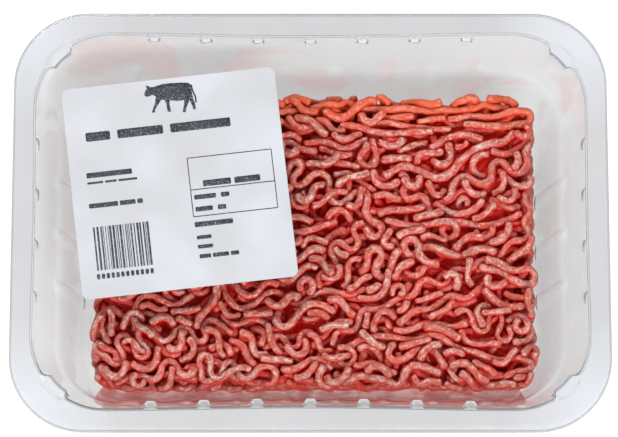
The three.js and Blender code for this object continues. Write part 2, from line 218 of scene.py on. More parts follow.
def clear_film(name, tint, normal_gloss):
    m, nt, out = material(name)
    co = node(nt, "ShaderNodeTexCoord")
    n1 = node(nt, "ShaderNodeTexNoise", Scale=60.0, Detail=3.0)
    link(nt, co.outputs["Object"], n1.inputs["Vector"])
    t = node(nt, "ShaderNodeBsdfTransparent")
    link(nt, mixed(nt, mapped(nt, n1.outputs["Fac"], 0.35, 0.65, 0.0, 1.0), tint, tuple(c * 0.992 for c in tint)), t.inputs["Color"])
    g = node(nt, "ShaderNodeBsdfGlossy", Color=(0.96, 0.98, 1.0, 1))
    link(nt, mapped(nt, n1.outputs["Fac"], 0.3, 0.7, 0.10, 0.18), g.inputs["Roughness"])
    bump = node(nt, "ShaderNodeBump", Strength=1.0, Distance=0.00006)
    link(nt, n1.outputs["Fac"], bump.inputs["Height"])
    link(nt, bump.outputs["Normal"], g.inputs["Normal"])
    lw = node(nt, "ShaderNodeLayerWeight", Blend=0.5)
    steep = node(nt, "ShaderNodeMath", operation="POWER")
    link(nt, lw.outputs["Facing"], steep.inputs[0])
    steep.inputs[1].default_value = 5.0
    gloss = node(nt, "ShaderNodeMath", operation="MULTIPLY_ADD")
    link(nt, steep.outputs["Value"], gloss.inputs[0])
    gloss.inputs[1].default_value, gloss.inputs[2].default_value = 0.48, normal_gloss
    mx = node(nt, "ShaderNodeMixShader")
    link(nt, gloss.outputs["Value"], mx.inputs[0])
    link(nt, t.outputs["BSDF"], mx.inputs[1])
    link(nt, g.outputs["BSDF"], mx.inputs[2])
    link(nt, mx.outputs["Shader"], out.inputs["Surface"])
    return m


def paper(name):
    """coated label paper, with soft unevenness and a faint tooth"""
    m, nt, out = material(name)
    co = node(nt, "ShaderNodeTexCoord")
    n1 = node(nt, "ShaderNodeTexNoise", Scale=42.0, Detail=2.0, Roughness=0.5)
    link(nt, co.outputs["Object"], n1.inputs["Vector"])
    n2 = node(nt, "ShaderNodeTexNoise", Scale=2600.0, Detail=2.0)
    link(nt, co.outputs["Object"], n2.inputs["Vector"])
    p = node(nt, "ShaderNodeBsdfPrincipled", **{"Metallic": 0.0, "IOR": 1.45})
    c = ramp(nt, n1.outputs["Fac"], [(0.35, (0.420, 0.422, 0.438)), (0.5, (0.440, 0.446, 0.472)), (0.65, (0.470, 0.482, 0.515))])
    link(nt, mixed(nt, mapped(nt, n2.outputs["Fac"], 0.3, 0.7, 0.0, 0.10), c, (0.41, 0.41, 0.41)), p.inputs["Base Color"])
    link(nt, mapped(nt, n1.outputs["Fac"], 0.3, 0.7, 0.42, 0.55), p.inputs["Roughness"])
    bump = node(nt, "ShaderNodeBump", Strength=0.5, Distance=0.00001)
    link(nt, n2.outputs["Fac"], bump.inputs["Height"])
    link(nt, bump.outputs["Normal"], p.inputs["Normal"])
    link(nt, p.outputs["BSDF"], out.inputs["Surface"])
    return m


def ink(name):
    """thermal print: near black, slightly patchy"""
    m, nt, out = material(name)
    co = node(nt, "ShaderNodeTexCoord")
    n1 = node(nt, "ShaderNodeTexNoise", Scale=2200.0, Detail=3.0)
    link(nt, co.outputs["Object"], n1.inputs["Vector"])
    p = node(nt, "ShaderNodeBsdfPrincipled", **{"Metallic": 0.0, "IOR": 1.4})
    link(nt, ramp(nt, n1.outputs["Fac"], [(0.35, (0.010, 0.012, 0.019)), (0.50, (0.022, 0.025, 0.035)), (0.60, (0.085, 0.09, 0.11)), (0.68, (0.20, 0.21, 0.23))]), p.inputs["Base Color"])
    link(nt, mapped(nt, n1.outputs["Fac"], 0.3, 0.7, 0.5, 0.65), p.inputs["Roughness"])
    link(nt, p.outputs["BSDF"], out.inputs["Surface"])
    return m


def raw_meat(name, deep=False):
    """strands of lean with streaks of fat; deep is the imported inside"""
    m, nt, out = material(name)
    co = node(nt, "ShaderNodeTexCoord")
    p = node(nt, "ShaderNodeBsdfPrincipled", **{"Metallic": 0.0, "IOR": 1.25, "Coat Weight": 0.55, "Coat Roughness": 0.11, "Coat IOR": 1.30})
    big = node(nt, "ShaderNodeTexNoise", Scale=55.0, Detail=2.0)
    link(nt, co.outputs["Object"], big.inputs["Vector"])
    fine = node(nt, "ShaderNodeTexNoise", Scale=900.0, Detail=4.0, Roughness=0.6)
    link(nt, co.outputs["Object"], fine.inputs["Vector"])
    if deep:
        c = ramp(nt, fine.outputs["Fac"], [(0.3, (0.54, 0.005, 0.002)), (0.5, (0.62, 0.010, 0.004)), (0.7, (0.70, 0.022, 0.010))])
        link(nt, c, p.inputs["Base Color"])
        height = fine.outputs["Fac"]
    else:
        grain = node(nt, "ShaderNodeAttribute", attribute_name="grain")
        tone = node(nt, "ShaderNodeAttribute", attribute_name="tone")
        streak = node(nt, "ShaderNodeTexNoise", Scale=1.0, Detail=4.0, Roughness=0.6)
        link(nt, grain.outputs["Vector"], streak.inputs["Vector"])
        lean = ramp(nt, streak.outputs["Fac"], [(0.36, (0.385, 0.068, 0.038)), (0.44, (0.43, 0.150, 0.105)), (0.52, (0.48, 0.265, 0.215)), (0.60, (0.56, 0.400, 0.350)), (0.68, (0.74, 0.60, 0.55))])
        # each strand has its own share of fat and of darker lean
        dark = mixed(nt, tone.outputs["Fac"], lean, (0.385, 0.066, 0.040))
        fleck = node(nt, "ShaderNodeTexNoise", Scale=820.0, Detail=3.0, Roughness=0.6, Distortion=0.5)
        link(nt, co.outputs["Object"], fleck.inputs["Vector"])
        fat = mapped(nt, fleck.outputs["Fac"], 0.56, 0.66, 0.0, 0.85)
        withfat = mixed(nt, fat, dark, (0.78, 0.60, 0.545))
        warm = mapped(nt, big.outputs["Fac"], 0.35, 0.65, 0.0, 0.22)
        c = mixed(nt, warm, withfat, (0.47, 0.112, 0.054))
        # painted light and shade: a strand is paler where it faces up and darker and redder where it faces sideways
        geo = node(nt, "ShaderNodeNewGeometry")
        nz = node(nt, "ShaderNodeSeparateXYZ")
        link(nt, geo.outputs["Normal"], nz.inputs["Vector"])
        c = mixed(nt, mapped(nt, nz.outputs["Z"], 0.22, 0.90, 0.95, 0.0), c, (0.54, 0.016, 0.004))
        # painted shade: what lies deep is darker and redder; painted light: the far edge is tinted orange, as under a
        # warm back light
        depth = node(nt, "ShaderNodeAttribute", attribute_name="depth")
        c = mixed(nt, mapped(nt, depth.outputs["Fac"], 0.12, 0.8, 0.0, 0.9), c, (0.72, 0.005, 0.0015))
        xyz = node(nt, "ShaderNodeSeparateXYZ")
        link(nt, co.outputs["Object"], xyz.inputs["Vector"])
        # painted light: the far edge is tinted orange, as under a warm back light
        c = mixed(nt, mapped(nt, xyz.outputs["Y"], 0.031, 0.042, 0.0, 0.68), c, (0.74, 0.100, 0.020))
        link(nt, c, p.inputs["Base Color"])
        p.inputs["Subsurface Weight"].default_value = 0.34
        p.inputs["Subsurface Radius"].default_value = (1.0, 0.18, 0.10)
        p.inputs["Subsurface Scale"].default_value = 0.0022
        height = streak.outputs["Fac"]
    link(nt, mapped(nt, fine.outputs["Fac"], 0.3, 0.7, 0.34, 0.56), p.inputs["Roughness"])
    bump = node(nt, "ShaderNodeBump", Strength=1.0, Distance=0.00045)
    link(nt, height, bump.inputs["Height"])
    link(nt, bump.outputs["Normal"], p.inputs["Normal"])
    link(nt, p.outputs["BSDF"], out.inputs["Surface"])
    return m


# ------------------------------------------------------------------- the tray

TRAY_A, TRAY_B, TRAY_TOP, RIM_R = 93.5, 67.5, 50.0, 23.5
MOUTH_A, MOUTH_B, MOUTH_R, FLOOR_R = 86.5, 60.4, 23.0, 14.0
TAN_END, TAN_SIDE = math.tan(math.radians(17)), math.tan(math.radians(15.5))
BOW_SIDE, BOW_END = 0.9, 0.3
SHEET = 0.6
FLOOR_T = 0.75


def ease(x):
    x = np.clip(x, 0, 1)
    return x * x * (3 - 2 * x)


def spread_points(limit, centres, offsets, gap):
    """coordinates along a wall: fine beside the features, coarser between"""
    fixed = sorted({round(c + s * o, 3) for c in centres for o in offsets for s in (-1, 1) if abs(c + s * o) < limit} | {-limit, limit})
    keep = [fixed[0]]
    for v in fixed[1:]:
        if v - keep[-1] > 0.32:
            keep.append(v)
    out = [keep[0]]
    for v in keep[1:]:
        n = int(math.ceil((v - out[-1]) / gap))
        a = out[-1]
        out += [a + (v - a) * (k + 1) / n for k in range(n)]
    return np.array(out)


LUG_PITCH, LUG_REACH, LUG_WIDE, LUG_NARROW, LUG_TOP, LUG_SLOPE = 16.5, 2.6, 5.4, 3.5, 0.6, 1.1
LUGS = {"long": [(k - 3) * LUG_PITCH for k in range(7)], "short": [(k - 1.5) * LUG_PITCH for k in range(4)]}
RIBS = {"long": [-38.6, -23.2, -7.8, 7.8, 23.2, 38.6], "short": [-16.5, 0.0, 16.5]}
RIB_TOP, RIB_END, RIB_WIDE, RIB_PROUD = 18.0, 43.5, 5.6, 0.95
LEAN_X, LEAN = 54.0, math.tan(math.radians(27))

LUG_OFF = (0.0, 1.2, 1.75, 2.15, 2.5, 2.85, 3.2)
RIB_OFF = (0.0, 1.3, 1.9, 2.35, 2.8)
U_LONG = spread_points(54.0, LUGS["long"], LUG_OFF, 1.7)
U_LONG = np.array(sorted(set(np.round(U_LONG, 3)) | {round(c + s * o, 3) for c in RIBS["long"] for o in RIB_OFF for s in (-1, 1) if min(abs(c + s * o - U_LONG)) > 0.42}))
U_SHORT = spread_points(31.0, LUGS["short"], LUG_OFF, 1.7)
U_SHORT = np.array(sorted(set(np.round(U_SHORT, 3)) | {round(c + s * o, 3) for c in RIBS["short"] for o in RIB_OFF for s in (-1, 1) if min(abs(c + s * o - U_SHORT)) > 0.42}))
CORNER_N, LINK_N = 30, 5


def tray_ring(a, b, r, bow_side=0.0, bow_end=0.0):
    """one outline of the sheet, counter-clockwise; the same index is the same
    place along the wall at every depth"""
    out = []
    la, lb = a - r, b - r
    for q, (sx, sy) in enumerate(((1, 1), (-1, 1), (-1, -1), (1, -1))):
        w = (q + np.arange(CORNER_N + 1) / CORNER_N) * math.pi / 2
        out.append(np.stack([sx * la + r * np.cos(w), sy * lb + r * np.sin(w)], 1))
        along = q % 2 == 0
        U, L = (U_LONG, la) if along else (U_SHORT, lb)
        lead = np.linspace(0, 1, LINK_N + 2)[1:-1]
        u = np.concatenate([L + (U[-1] - L) * lead, U[::-1], U[0] + (-L - U[0]) * lead])
        bow = (bow_side if along else bow_end) * (1 - np.clip(np.abs(u) / L, 0, 1) ** 2) ** 2
        if along:
            out.append(np.stack([sx * u, np.full(len(u), sy * 1.0) * (b - bow)], 1))
        else:
            out.append(np.stack([sx * (a - bow), sy * u], 1))
    return np.concatenate(out)


def wall_size(d):
    stand = 0.4 * ease((d - 19.5) / 3.0)
    r = MOUTH_R + (FLOOR_R - MOUTH_R) * min(max(d, 0), 50) / 50
    return MOUTH_A - d * TAN_END - stand, MOUTH_B - d * TAN_SIDE - stand, r


def wall_line(d, off):
    a, b, r = wall_size(d)
    fade = 1 - 0.5 * min(max(d / 50, 0), 1)
    return tray_ring(a + off, b + off, max(2.0, r + off), BOW_SIDE * fade, BOW_END * fade)


def posts(X, Y, d, t, flange):
    """lugs, ribs and corner ledges, as a sideways shift of one level; t is how
    far the level stands behind the sheet's face"""
    X, Y = X.copy(), Y.copy()
    Z = np.zeros(len(X))
    fade = 1 - 0.5 * min(max(d / 50, 0), 1)
    if not flange:
        for kind, half, mouth, tan, bow0 in (("long", 63.5, MOUTH_B, TAN_SIDE, BOW_SIDE), ("short", 37.4, MOUTH_A, TAN_END, BOW_END)):
            for s in (-1, 1):
                U, V = (X, Y) if kind == "long" else (Y, X)
                bow = bow0 * (1 - np.clip(np.abs(U) / half, 0, 1) ** 2) ** 2 * fade
                v = mouth - s * V - bow
                near = (s * V > mouth * 0.55)
                push = np.zeros(len(X))
                if d > LUG_TOP + t:
                    far_out, slope = (LUG_REACH, LUG_SLOPE) if kind == "long" else (1.5, 2.2)
                    reach = min(1.0, (d - LUG_TOP - t) / slope) * (far_out - t)
                    wide = LUG_WIDE / 2 - (LUG_WIDE - LUG_NARROW) / 2 * reach / LUG_REACH - t
                    soft = (0.42 if kind == "long" else 0.9) + 0.3 * min(max(0.0, d - 2.2), 6.0)
                    reach -= 0.7 * max(0.0, d - 3.0)     # the lug's underside runs back to the wall
                    for c in LUGS[kind]:
                        w = ease((wide + 0.2 - np.abs(U - c)) / soft)
                        push = np.maximum(push, w * np.maximum(0, reach - v))
                if RIB_TOP < d < RIB_END + 0.6:
                    e = RIB_TOP + RIB_WIDE / 2 - d
                    hw = RIB_WIDE / 2 if e < 0 else math.sqrt(max(0.0, RIB_WIDE ** 2 / 4 - e * e))
                    end = float(ease((RIB_END + 0.6 - d) / 1.0))
                    target = RIB_PROUD + d * tan - 0.5 * t
                    spots = [(c, 0.0) for c in RIBS[kind]]
                    if kind == "long":
                        spots += [(-LEAN_X, -LEAN), (LEAN_X, LEAN)]
                    for c, k in spots:
                        at = c + k * (d - RIB_TOP)
                        w = ease((hw - 0.3 * t - np.abs(U - at)) / 1.9) * end
                        push = np.maximum(push, w * np.maximum(0, target - v))
                V2 = np.where(near, V - s * push, V)
                if kind == "long":
                    Y = V2
                else:
                    X = V2
    for sx in (-1, 1):
        for sy in (-1, 1):
            ox, oy = sx * (MOUTH_A - MOUTH_R), sy * (MOUTH_B - MOUTH_R)
            dx, dy = (X - ox) * sx, (Y - oy) * sy
            r = np.hypot(dx, dy)
            w = np.arctan2(dy, dx)
            span = 10 / MOUTH_R
            tt = (w - math.pi / 4) / (span / 2)
            edge = np.clip(2.2 * (1 - np.abs(tt)), 0, 1)
            inside = (np.abs(tt) < 1) & (dx > 0) & (dy > 0)
            win = ease((1 - np.abs(tt)) * (span / 2 * MOUTH_R) / 0.5) * inside
            if flange or d < 1.0:
                lip = ease((MOUTH_R + 1.7 * edge + t * 0.5 - r) / 0.12) * win
                Z = np.where(inside, -1.0 * lip + (d if not flange else 0.0) * win, Z)
            if not flange and d < 9:
                goal = MOUTH_R - 2.3 * (min(d, 1.0) / 1.0) + (t if d > 1.0 else 0.0)
                r2 = np.where(inside, r + win * np.minimum(0, goal - r), r)
                f = r2 / np.maximum(r, 1e-6)
                X = np.where(inside, ox + sx * dx * f, X)
                Y = np.where(inside, oy + sy * dy * f, Y)
    return X, Y, Z


def tray_levels(under):
    """rings of one face of the sheet, from the rim's lower edge to the floor"""
    t = SHEET if under else 0.0
    rings = []

    def rim(inset, z):
        p = tray_ring(TRAY_A - inset, TRAY_B - inset, RIM_R - inset)
        rings.append(np.column_stack([p, np.full(len(p), z)]))
    if under:
        for inset, z in ((0.0 + t, 47.25), (t, 48.0), (t, 48.6), (t + 0.15, 48.8), (t + 0.4, 48.85), (1.25, 48.85), (1.65, 49.0), (1.9, 49.3), (2.1, 50 - t)):
            rim(inset, z)
    else:
        for inset, z in ((0.12, 47.2), (0.0, 47.32), (0.0, 48.1), (0.0, 49.0), (0.1, 49.28), (0.35, 49.4), (0.7, 49.4), (1.02, 49.4), (1.15, 49.5), (1.25, 49.85), (1.42, 50.0)):
            rim(inset, z)
    outer = tray_ring(TRAY_A - 2.3, TRAY_B - 2.3, RIM_R - 2.3)
    inner = wall_line(0.0, 2.4)
    for f in (0.0, 0.3, 0.6, 0.85, 1.0):
        p = outer * (1 - f) + inner * f
        rings.append(np.column_stack([p, np.full(len(p), 50.0 - t)]))
    for off in (2.0, 1.8, 1.68, 1.5, 1.2, 0.9, 0.62, 0.42):
        p = wall_line(0.0, off)
        X, Y, Z = posts(p[:, 0], p[:, 1], 0.0, t, True)
        rings.append(np.column_stack([X, Y, 50.0 - t + Z]))
    depths = [0.05, 0.18, 0.36, 0.6, 0.8, 0.98, 1.1, 1.25, 1.4, 1.55, 1.7, 1.95, 2.4, 3.2, 4.6, 6.4, 8.2, 9.6, 10.8, 12.0, 14.0, 16.2, 17.6, 18.2, 18.7, 19.3, 20.0, 20.6, 21.0, 21.5, 22.6, 25.0, 28.0, 31.5, 35.0, 38.5, 41.0, 42.6, 43.4, 43.9]
    for d in depths:
        round_in = 0.4 * (1 - min(d, 0.9) / 0.9) ** 2
        dd = d + (t if under and d < 1.0 else 0.0)
        p = wall_line(dd, round_in + t)
        X, Y, Z = posts(p[:, 0], p[:, 1], dd, t, False)
        rings.append(np.column_stack([X, Y, 50.0 - dd + Z]))
    f = 5.0
    bottom = 50.0 - FLOOR_T
    for k in range(0, 9):
        w = math.pi / 2 * k / 8
        d = bottom - f * (1 - math.sin(w))
        off = -f * (1 - math.cos(w))
        p = wall_line(min(d, bottom), off + t * math.cos(w))
        z = 50.0 - d - (FLOOR_T if under else 0.0) * math.sin(w)
        rings.append(np.column_stack([p, np.full(len(p), z)]))
    base = rings[-1].copy()
    for s in (0.93, 0.8, 0.62, 0.42, 0.2):
        q = base.copy()
        q[:, :2] *= s
        rings.append(q)
    return rings


def make_tray(mat):
    top, low = tray_levels(False), tray_levels(True)
    n = len(top[0])
    V, Q, T = [], [], []

    def skin(rings, flip):
        base = sum(len(v) for v in V)
        V.extend(rings)
        m = len(rings)
        i = np.arange(n)
        j = (i + 1) % n
        for k in range(m - 1):
            a, b = base + k * n, base + (k + 1) * n
            q = np.stack([a + i, a + j, b + j, b + i], 1)
            Q.append(q[:, ::-1] if flip else q)
        c = base + m * n
        V.append(rings[-1].mean(0, keepdims=True))
        last = base + (m - 1) * n
        t = np.stack([last + i, last + j, np.full(n, c)], 1)
        T.append(t[:, ::-1] if flip else t)
        return base
    a = skin(top, False)
    b = skin(low, True)
    i = np.arange(n)
    j = (i + 1) % n
    Q.append(np.stack([a + j, a + i, b + i, b + j], 1))
    ob = mesh_from("tray_sheet", np.concatenate(V), np.concatenate(Q), np.concatenate(T), True, 38)
    place(ob, mat, "tray", "tray")
    return ob


# ------------------------------------------------------- film, label and print


def rounded(a, b, r, steps):
    out = []
    for q, (sx, sy) in enumerate(((1, 1), (-1, 1), (-1, -1), (1, -1))):
        w = (q + np.arange(steps + 1) / steps) * math.pi / 2
        out.append(np.stack([sx * (a - r) + r * np.cos(w), sy * (b - r) + r * np.sin(w)], 1))
    return np.concatenate(out)


def slab(a, b, r, z0, z1, steps, edge, dip):
    """a thin plate in rings from its edge to its middle, with soft edges; dip
    (x, y) lowers it"""
    Q, T = [], []
    levels = [(0.0, z0 + edge), (0.0, z1 - edge), (edge * 0.3, z1 - edge * 0.3), (edge, z1)]
    insets = [edge + k for k in (0.6, 1.6, 3.5, 7, 12, 18, 25, 33)]
    insets = [k for k in insets if k < min(a, b) - 2]
    top = levels + [(k, z1) for k in insets]
    low = [(edge * 0.3, z0 + edge * 0.3), (edge, z0)] + [(k, z0) for k in insets]

    def line(inset, z):
        p = rounded(a - inset, b - inset, max(0.6, r - inset), steps)
        return np.column_stack([p, z - dip(p[:, 0], p[:, 1])])
    rings = [line(*q) for q in low[::-1]] + [line(*q) for q in top]
    n = len(rings[0])
    V = rings + [rings[0].mean(0, keepdims=True), rings[-1].mean(0, keepdims=True)]
    m = len(rings)
    i = np.arange(n)
    j = (i + 1) % n
    for k in range(m - 1):
        Q.append(np.stack([k * n + i, k * n + j, (k + 1) * n + j, (k + 1) * n + i], 1))
    T.append(np.stack([j, i, np.full(n, m * n)], 1))
    T.append(np.stack([(m - 1) * n + i, (m - 1) * n + j, np.full(n, m * n + 1)], 1))
    return np.concatenate(V), np.concatenate(Q), np.concatenate(T)


LABEL_W, LABEL_H, LABEL_AT, LABEL_TURN = 67.5, 68.4, (-41.1, 11.7), math.radians(6.6)
LABEL_Z = 50.5


def on_label(p):
    c, s = math.cos(LABEL_TURN), math.sin(LABEL_TURN)
    q = np.array(p, float)
    q[:, :2] = np.column_stack([LABEL_AT[0] + c * q[:, 0] - s * q[:, 1], LABEL_AT[1] + s * q[:, 0] + c * q[:, 1]])
    return q


class Print:
    """flat shapes with a real, very small thickness, joined in one mesh"""

    def __init__(self):
        self.V, self.Q, self.T, self.n, self.k = [], [], [], 0, 0

    def shape(self, pts, z=LABEL_Z, h=0.03):
        """a convex or star-shaped outline, counter-clockwise"""
        pts = np.asarray(pts, float)
        n = len(pts)
        c = pts.mean(0)
        self.k += 1
        h = h + 0.0016 * (self.k % 9)
        low = np.column_stack([pts, np.full(n, z - 0.02)])
        top = np.column_stack([c + (pts - c), np.full(n, z + h)])
        mid = np.array([[c[0], c[1], z + h], [c[0], c[1], z - 0.02]])
        b = self.n
        i = np.arange(n)
        j = (i + 1) % n
        self.V.append(np.concatenate([low, top, mid]))
        self.Q.append(np.stack([b + i, b + j, b + n + j, b + n + i], 1))
        self.T.append(np.stack([b + n + i, b + n + j, np.full(n, b + 2 * n)], 1))
        self.T.append(np.stack([b + j, b + i, np.full(n, b + 2 * n + 1)], 1))
        self.n += 2 * n + 2

    def bar(self, x0, y0, x1, y1, r=0.15):
        r = min(r, abs(x1 - x0) * 0.45, abs(y1 - y0) * 0.45)
        p = rounded((x1 - x0) / 2, (y1 - y0) / 2, r, 3) + np.array([(x0 + x1) / 2, (y0 + y1) / 2])
        self.shape(p)

    def oval(self, cx, cy, rx, ry, turn=0.0, n=28):
        w = np.arange(n) * 2 * math.pi / n
        x, y = rx * np.cos(w), ry * np.sin(w)
        c, s = math.cos(turn), math.sin(turn)
        self.shape(np.column_stack([cx + c * x - s * y, cy + s * x + c * y]))

    def poly(self, pts):
        pts = np.asarray(pts, float)
        a = (pts[:, 0] * np.roll(pts[:, 1], -1) - np.roll(pts[:, 0], -1) * pts[:, 1]).sum()
        self.shape(pts if a > 0 else pts[::-1])

    def build(self, name):
        V = on_label(np.concatenate(self.V))
        return mesh_from(name, V, np.concatenate(self.Q), np.concatenate(self.T), False)


def make_print(mat):
    pr = Print()
    # heading: three words as bars
    for x0, x1 in ((-27.6, -19.9), (-17.6, -3.2), (-0.9, 18.1)):
        pr.bar(x0, 16.4, x1, 19.3, 0.5)
    # lines of small text as bars
    for x0, x1, y, h in ((-28.6, -14.3, 5.4, 1.7), (-28.6, -23.6, 2.9, 0.7), (-23.0, -19.4, 2.9, 0.7), (-18.8, -12.9, 2.9, 0.7),
                         (-28.8, -19.7, -4.5, 1.5), (-19.1, -14.2, -4.5, 1.5), (-13.6, -11.9, -4.5, 1.5),
                         (7.4, 16.2, -1.2, 2.0), (17.3, 25.4, -1.2, 2.0),
                         (4.2, 11.0, -5.4, 1.5), (12.6, 15.2, -5.4, 1.5), (4.2, 9.6, -9.3, 1.5), (11.2, 13.8, -9.3, 1.5),
                         (3.4, 15.4, -14.2, 1.6), (3.6, 8.2, -18.4, 1.2), (3.6, 8.4, -21.4, 1.2), (3.8, 7.4, -24.5, 1.3), (8.0, 13.0, -24.5, 1.3), (13.6, 16.2, -24.5, 1.3)):
        pr.bar(x0, y - h / 2, x1, y + h / 2, 0.3)
    # a ruled box of two cells
    w = 0.28
    for x0, y0, x1, y1 in ((3.3, 7.5, 29.8, 7.5), (3.3, -2.9, 29.8, -2.9), (3.3, -11.6, 29.8, -11.6)):
        pr.bar(x0, y0 - w / 2, x1, y1 + w / 2, 0.02)
    for x in (3.3, 29.8):
        pr.bar(x - w / 2, -11.6, x + w / 2, 7.5, 0.02)
    # upright stripes of mixed widths over a row of short bars
    rng = np.random.default_rng(41)
    x = -28.3
    while x < -11.0:
        wide = rng.choice([0.22, 0.22, 0.34, 0.5, 0.66])
        pr.bar(x, -25.4, min(x + wide, -10.8), -11.4, 0.02)
        x += wide + rng.choice([0.24, 0.24, 0.36, 0.55])
    x = -28.6
    for k in range(12):
        pr.bar(x, -28.2, x + 1.0, -26.5, 0.35)
        x += 1.52
    # a walking steer that faces left, put together from plain shapes
    cx, cy = 0.3, 27.9
    for pts in (((-5.7, 3.7), (-4.1, 4.2), (-2.1, 4.6), (0.7, 4.6), (3.8, 4.4), (6.0, 4.1), (6.8, 3.3), (6.8, 1.6), (6.0, 0.0), (4.7, -1.2), (2.5, -1.5), (0.3, -1.1), (-2.1, -0.6), (-3.8, -0.3), (-4.8, 0.9), (-5.8, 1.8)),
                ((-4.9, 4.0), (-6.3, 4.0), (-7.3, 3.6), (-8.0, 2.4), (-8.2, 1.6), (-7.5, 1.0), (-6.6, 1.1), (-5.7, 1.4), (-4.7, 1.2)),
                ((-7.6, 4.6), (-6.5, 4.5), (-6.1, 3.9), (-7.0, 3.7)),
                ((-4.7, 0.5), (-2.8, -0.2), (-4.0, -1.7), (-5.2, -3.3), (-5.4, -4.4), (-6.4, -4.3), (-5.8, -2.9), (-5.0, -1.2)),
                ((-2.1, -0.1), (-0.4, -0.6), (-0.6, -2.4), (-0.4, -4.0), (-0.4, -4.7), (-1.4, -4.6), (-1.5, -3.6), (-1.6, -1.9)),
                ((3.9, -0.3), (6.1, 0.1), (5.6, -2.1), (4.6, -3.9), (4.2, -5.4), (3.2, -5.3), (3.7, -3.8), (4.1, -2.1)),
                ((5.7, 0.8), (6.8, 1.3), (7.0, -1.0), (7.4, -3.0), (7.5, -4.7), (6.7, -4.8), (6.3, -3.0), (5.7, -1.3)),
                ((6.6, 3.5), (7.1, 3.3), (7.3, 1.6), (6.9, 1.2)), ((6.9, 1.3), (7.35, 1.5), (8.0, -0.6), (7.5, -0.8)), ((7.5, -0.6), (8.0, -0.5), (8.05, -2.5), (7.5, -2.7))):
        pr.poly([(cx + x, cy + y) for x, y in pts])
    ob = pr.build("label_print")
    place(ob, mat, "label")
    return ob


def make_film(mat):
    def dip(x, y):
        # drum-tight but not perfectly flat; nothing to speak of near the weld
        m = ease((84.0 - np.abs(x)) / 30) * ease((58.0 - np.abs(y)) / 30)
        return m * (0.05 + 0.02 * np.sin(0.11 * x + 0.6) * np.cos(0.13 * y))
    V, Q, T = slab(TRAY_A - 0.7, TRAY_B - 0.7, RIM_R - 0.7, 50.03, 50.25, 24, 0.05, dip)
    ob = mesh_from("lid_film_clear", V, Q, T, True, 30)
    place(ob, mat, "lid_film", "lid_film")


def make_label(mat):
    V, Q, T = slab(LABEL_W / 2, LABEL_H / 2, 2.2, 50.26, LABEL_Z, 10, 0.05, lambda x, y: 0 * x)
    ob = mesh_from("label_paper", on_label(V), Q, T, True, 30)
    place(ob, mat, "label", "label")


# ------------------------------------------------------------ the minced meat

MEAT_A, MEAT_FAR, MEAT_NEAR, MEAT_CORNER = 71.0, 45.3, -52.2, 10.0
MEAT_B = (MEAT_FAR - MEAT_NEAR) / 2
MEAT_CENTRE = np.array([1.3, (MEAT_FAR + MEAT_NEAR) / 2])
LEAN_IN, LEAN_TOP = 9.2, 34.0
FLOOR_Z = 0.75
MEAT_TOP = 39.4
TAPER = 1.8
CELL = 0.5
STEP = 1.0
CORE_INSET, CORE_TOP = 10.0, 23.0
BALL = 1.2


def swell(x, y):
    return 0.9 * np.cos(0.045 * x + 0.3) + 0.7 * np.sin(0.07 * y + 0.05 * x + 0.8) - 0.9


def lean_at(z):
    """how far the near side stands back at a height, along the tray wall's slope"""
    return LEAN_IN * np.clip(1 - (z - FLOOR_Z) / (LEAN_TOP - FLOOR_Z), 0, 1)


def outline(p, inset, lean=0.0):
    """signed distance to the block's rounded outline, and its outward normal; p (..., 2)"""
    lean = np.asarray(lean, float)
    h = np.stack([0 * lean + MEAT_A, MEAT_B - lean / 2], -1) - inset
    c = np.maximum(2.0, MEAT_CORNER - 0.5 * inset)
    q = p - MEAT_CENTRE - np.stack([0 * lean, lean / 2], -1)
    s = np.where(q < 0, -1.0, 1.0)
    q = np.abs(q) - (h - c)
    out = np.maximum(q, 0)
    n = np.hypot(out[..., 0], out[..., 1])
    d = n + np.minimum(q.max(-1), 0) - c
    flat = np.where((q[..., 0] > q[..., 1])[..., None], np.array([1.0, 0.0]), np.array([0.0, 1.0]))
    g = np.where((n > 1e-6)[..., None], out / np.maximum(n, 1e-6)[..., None], flat)
    return d, g * s


def target_top(p):
    d, g = outline(p, 0.0)
    s = 4.5 + 4.0 * np.clip(-g[..., 1], 0, 1)
    k = np.clip(1 + d / s, 0, 1)
    x, y = p[..., 0], p[..., 1]
    pits = 1.3 * np.sin(0.42 * x + 1.7 * np.sin(0.19 * y + 1.0)) * np.cos(0.51 * y + 1.3 * np.sin(0.23 * x)) + 0.7 * np.sin(0.71 * y - 0.33 * x + 2.0)
    return MEAT_TOP + swell(x, y) + np.minimum(pits, 0.9) - 0.9 - s * (1 - np.sqrt(1 - k * k * 0.98))


